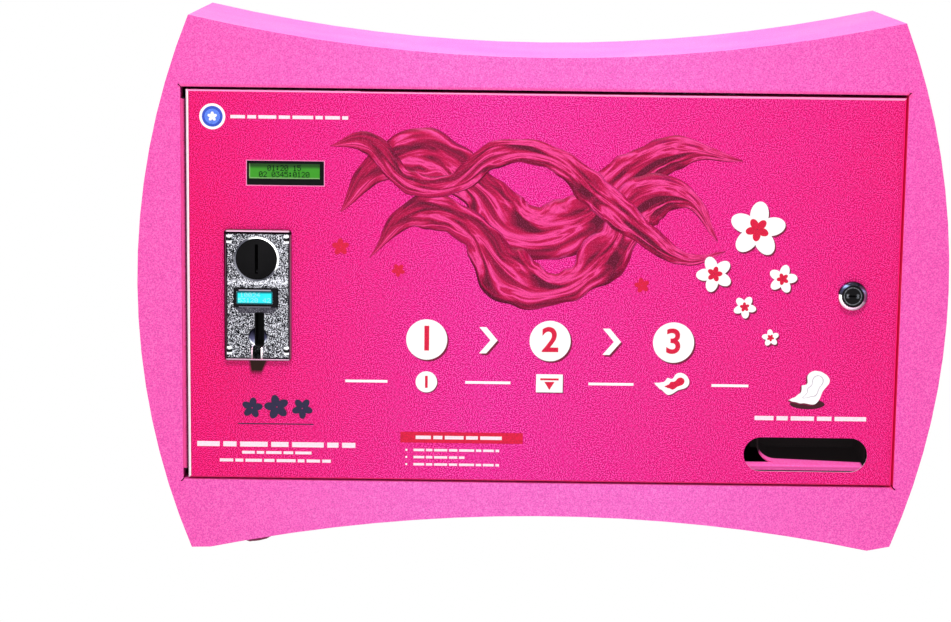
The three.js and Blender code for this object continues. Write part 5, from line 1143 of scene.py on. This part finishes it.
class MACHINE_OT_fasteners(bpy.types.Operator):
    """Adds the small screws inside the cabinet"""

    bl_idname = "machine.fasteners"
    bl_label = "Fasteners"
    bl_options = {"REGISTER", "UNDO"}

    def execute(self, context):
        gear_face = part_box("gearbox")[0].y + 0.0015
        board_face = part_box("control_board")[1].y - 0.0116
        low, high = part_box("power_supply")
        middle, pitch = (low.z + high.z) / 2, 0.009
        terminals = [(high.x - 0.0065, high.y - 0.0145, middle + (n - 3) * pitch) for n in range(7)]
        groups = (
            ("gearbox_screws", corners("gearbox", 0.0075, gear_face - 0.0008), 2.2, "cast_alloy"),
            ("board_screws", corners("control_board", 0.006, board_face - 0.0006), 2.6, "galvanised_steel"),
            ("terminal_screws", terminals, 2.6, "galvanised_steel"),
        )
        for name, spots, radius, slot in groups:
            head = {"Head Radius": radius * MM, "Head Height": 1.6 * MM, "Facing": (math.pi / 2, 0, 0)}
            piece = grow(name, points_object(spots), screws_on_points, "zinc_plated_steel", head)
            on_body(piece, "cabinet")
        return {"FINISHED"}


class MACHINE_OT_stage(bpy.types.Operator):
    """Sets the floor, the white surround, the lamps and the camera"""

    bl_idname = "machine.stage"
    bl_label = "Stage"
    bl_options = {"REGISTER", "UNDO"}

    def execute(self, context):
        settings = context.scene.machine_stage
        self.floor(settings)
        self.surround(context, settings)
        # Name, place, target, width in m and power in W
        lamps = (
            ("key", (0.05, -3.2, 4.0), (0, -0.2, 0), 0.7, 155),
            ("top", (0, -0.25, 2.0), (0, -0.1, 0), 0.9, 35),
            ("front", (-0.3, -3.5, 0.3), (0, -0.2, 0), 2.2, 30),
            ("left", (-3.0, 1.3, -0.3), (0, 0, 0), 1.2, 35),
            ("right", (3.0, 1.3, -0.3), (0, 0, 0), 1.2, 35),
        )
        for name, place, target, size, power in lamps:
            lamp = bpy.data.lights.new(name, "AREA")
            lamp.size, lamp.energy = size, power
            holder = link(name, lamp)
            holder.location = place
            holder.rotation_euler = (Vector(place) - Vector(target)).to_track_quat("Z", "Y").to_euler()
        self.camera(context, settings)
        context.scene.view_settings.view_transform = "Standard"
        return {"FINISHED"}

    def floor(self, settings):
        """Matt near the machine, and white where it is looked at farther off."""
        half, drop = 6.0, -settings.floor_drop
        mesh = bpy.data.meshes.new("floor")
        mesh.from_pydata([(x, y, drop) for x, y in oblong(-half, half, -half, half)], [], [(0, 1, 2, 3)])
        coat = Coat("pale_floor")
        matt = coat.add("ShaderNodeBsdfDiffuse", coat.lay("#F4F4F4", (coat.grain(0.025), "#FAFAFA")))
        white = coat.add("ShaderNodeEmission", "#FFFFFF", 1)
        away = coat.add("ShaderNodeVectorMath", coat.place, operation="LENGTH")
        seen = seen_white(coat.tree) * coat.add(RANGE, away, 1.6, 2.4, 0.5, 1)
        coat.add("ShaderNodeOutputMaterial", coat.add("ShaderNodeMixShader", seen, matt, white))
        link("floor", mesh, coat.material)

    def surround(self, context, settings):
        """Dim light from all round, and white where it is looked at."""
        world = bpy.data.worlds.new("white_surround")
        world.use_nodes = True
        world.node_tree.nodes.clear()
        add = partial(add_node, world.node_tree)
        fill, white = (add("ShaderNodeBackground", "#FFFFFF", strength) for strength in (settings.fill, 1))
        add("ShaderNodeOutputWorld", add("ShaderNodeMixShader", seen_white(world.node_tree), fill, white))
        context.scene.world = world

    def camera(self, context, settings):
        """The place and lens of the photograph."""
        camera = bpy.data.cameras.new("photo_view")
        camera.sensor_fit, camera.sensor_width, camera.lens = "HORIZONTAL", 36, settings.lens
        camera.clip_start, camera.clip_end = 0.05, 50
        holder = link("photo_view", camera)
        turns = ((settings.yaw, "Z"), (math.pi / 2 - settings.pitch, "X"), (settings.roll, "Z"))
        yaw, pitch, roll = (Matrix.Rotation(angle, 4, axis) for angle, axis in turns)
        holder.matrix_world = Matrix.Translation(settings.camera) @ yaw @ pitch @ roll
        context.scene.camera = holder


class MACHINE_PT_looks(bpy.types.Panel):
    """Lists the machine's pieces and settings."""

    bl_label = "Vending Machine"
    bl_space_type = "VIEW_3D"
    bl_region_type = "UI"
    bl_category = "Vending Machine"

    def draw(self, context):
        for group in (context.scene.machine_finish, context.scene.machine_print, context.scene.machine_stage):
            box = self.layout.box()
            for name in group.__annotations__:
                box.prop(group, name)
        for operator in OPERATORS:
            self.layout.operator(operator.bl_idname)


OPERATORS = (
    MACHINE_OT_stage,
    MACHINE_OT_finishes,
    MACHINE_OT_ribbons,
    MACHINE_OT_blossoms,
    MACHINE_OT_print_marks,
    MACHINE_OT_display_dots,
    MACHINE_OT_fasteners,
)
CLASSES = (FinishSettings, PrintSettings, StageSettings, *OPERATORS, MACHINE_PT_looks)


def register():
    for item in CLASSES:
        bpy.utils.register_class(item)
    bpy.types.Scene.machine_finish = PointerProperty(type=FinishSettings)
    bpy.types.Scene.machine_print = PointerProperty(type=PrintSettings)
    bpy.types.Scene.machine_stage = PointerProperty(type=StageSettings)


def unregister():
    for name in ("machine_finish", "machine_print", "machine_stage"):
        delattr(bpy.types.Scene, name)
    for item in reversed(CLASSES):
        bpy.utils.unregister_class(item)


def main():
    register()
    for operator in OPERATORS:
        group, name = operator.bl_idname.split(".")
        getattr(getattr(bpy.ops, group), name)()


if __name__ == "__main__":
    main()
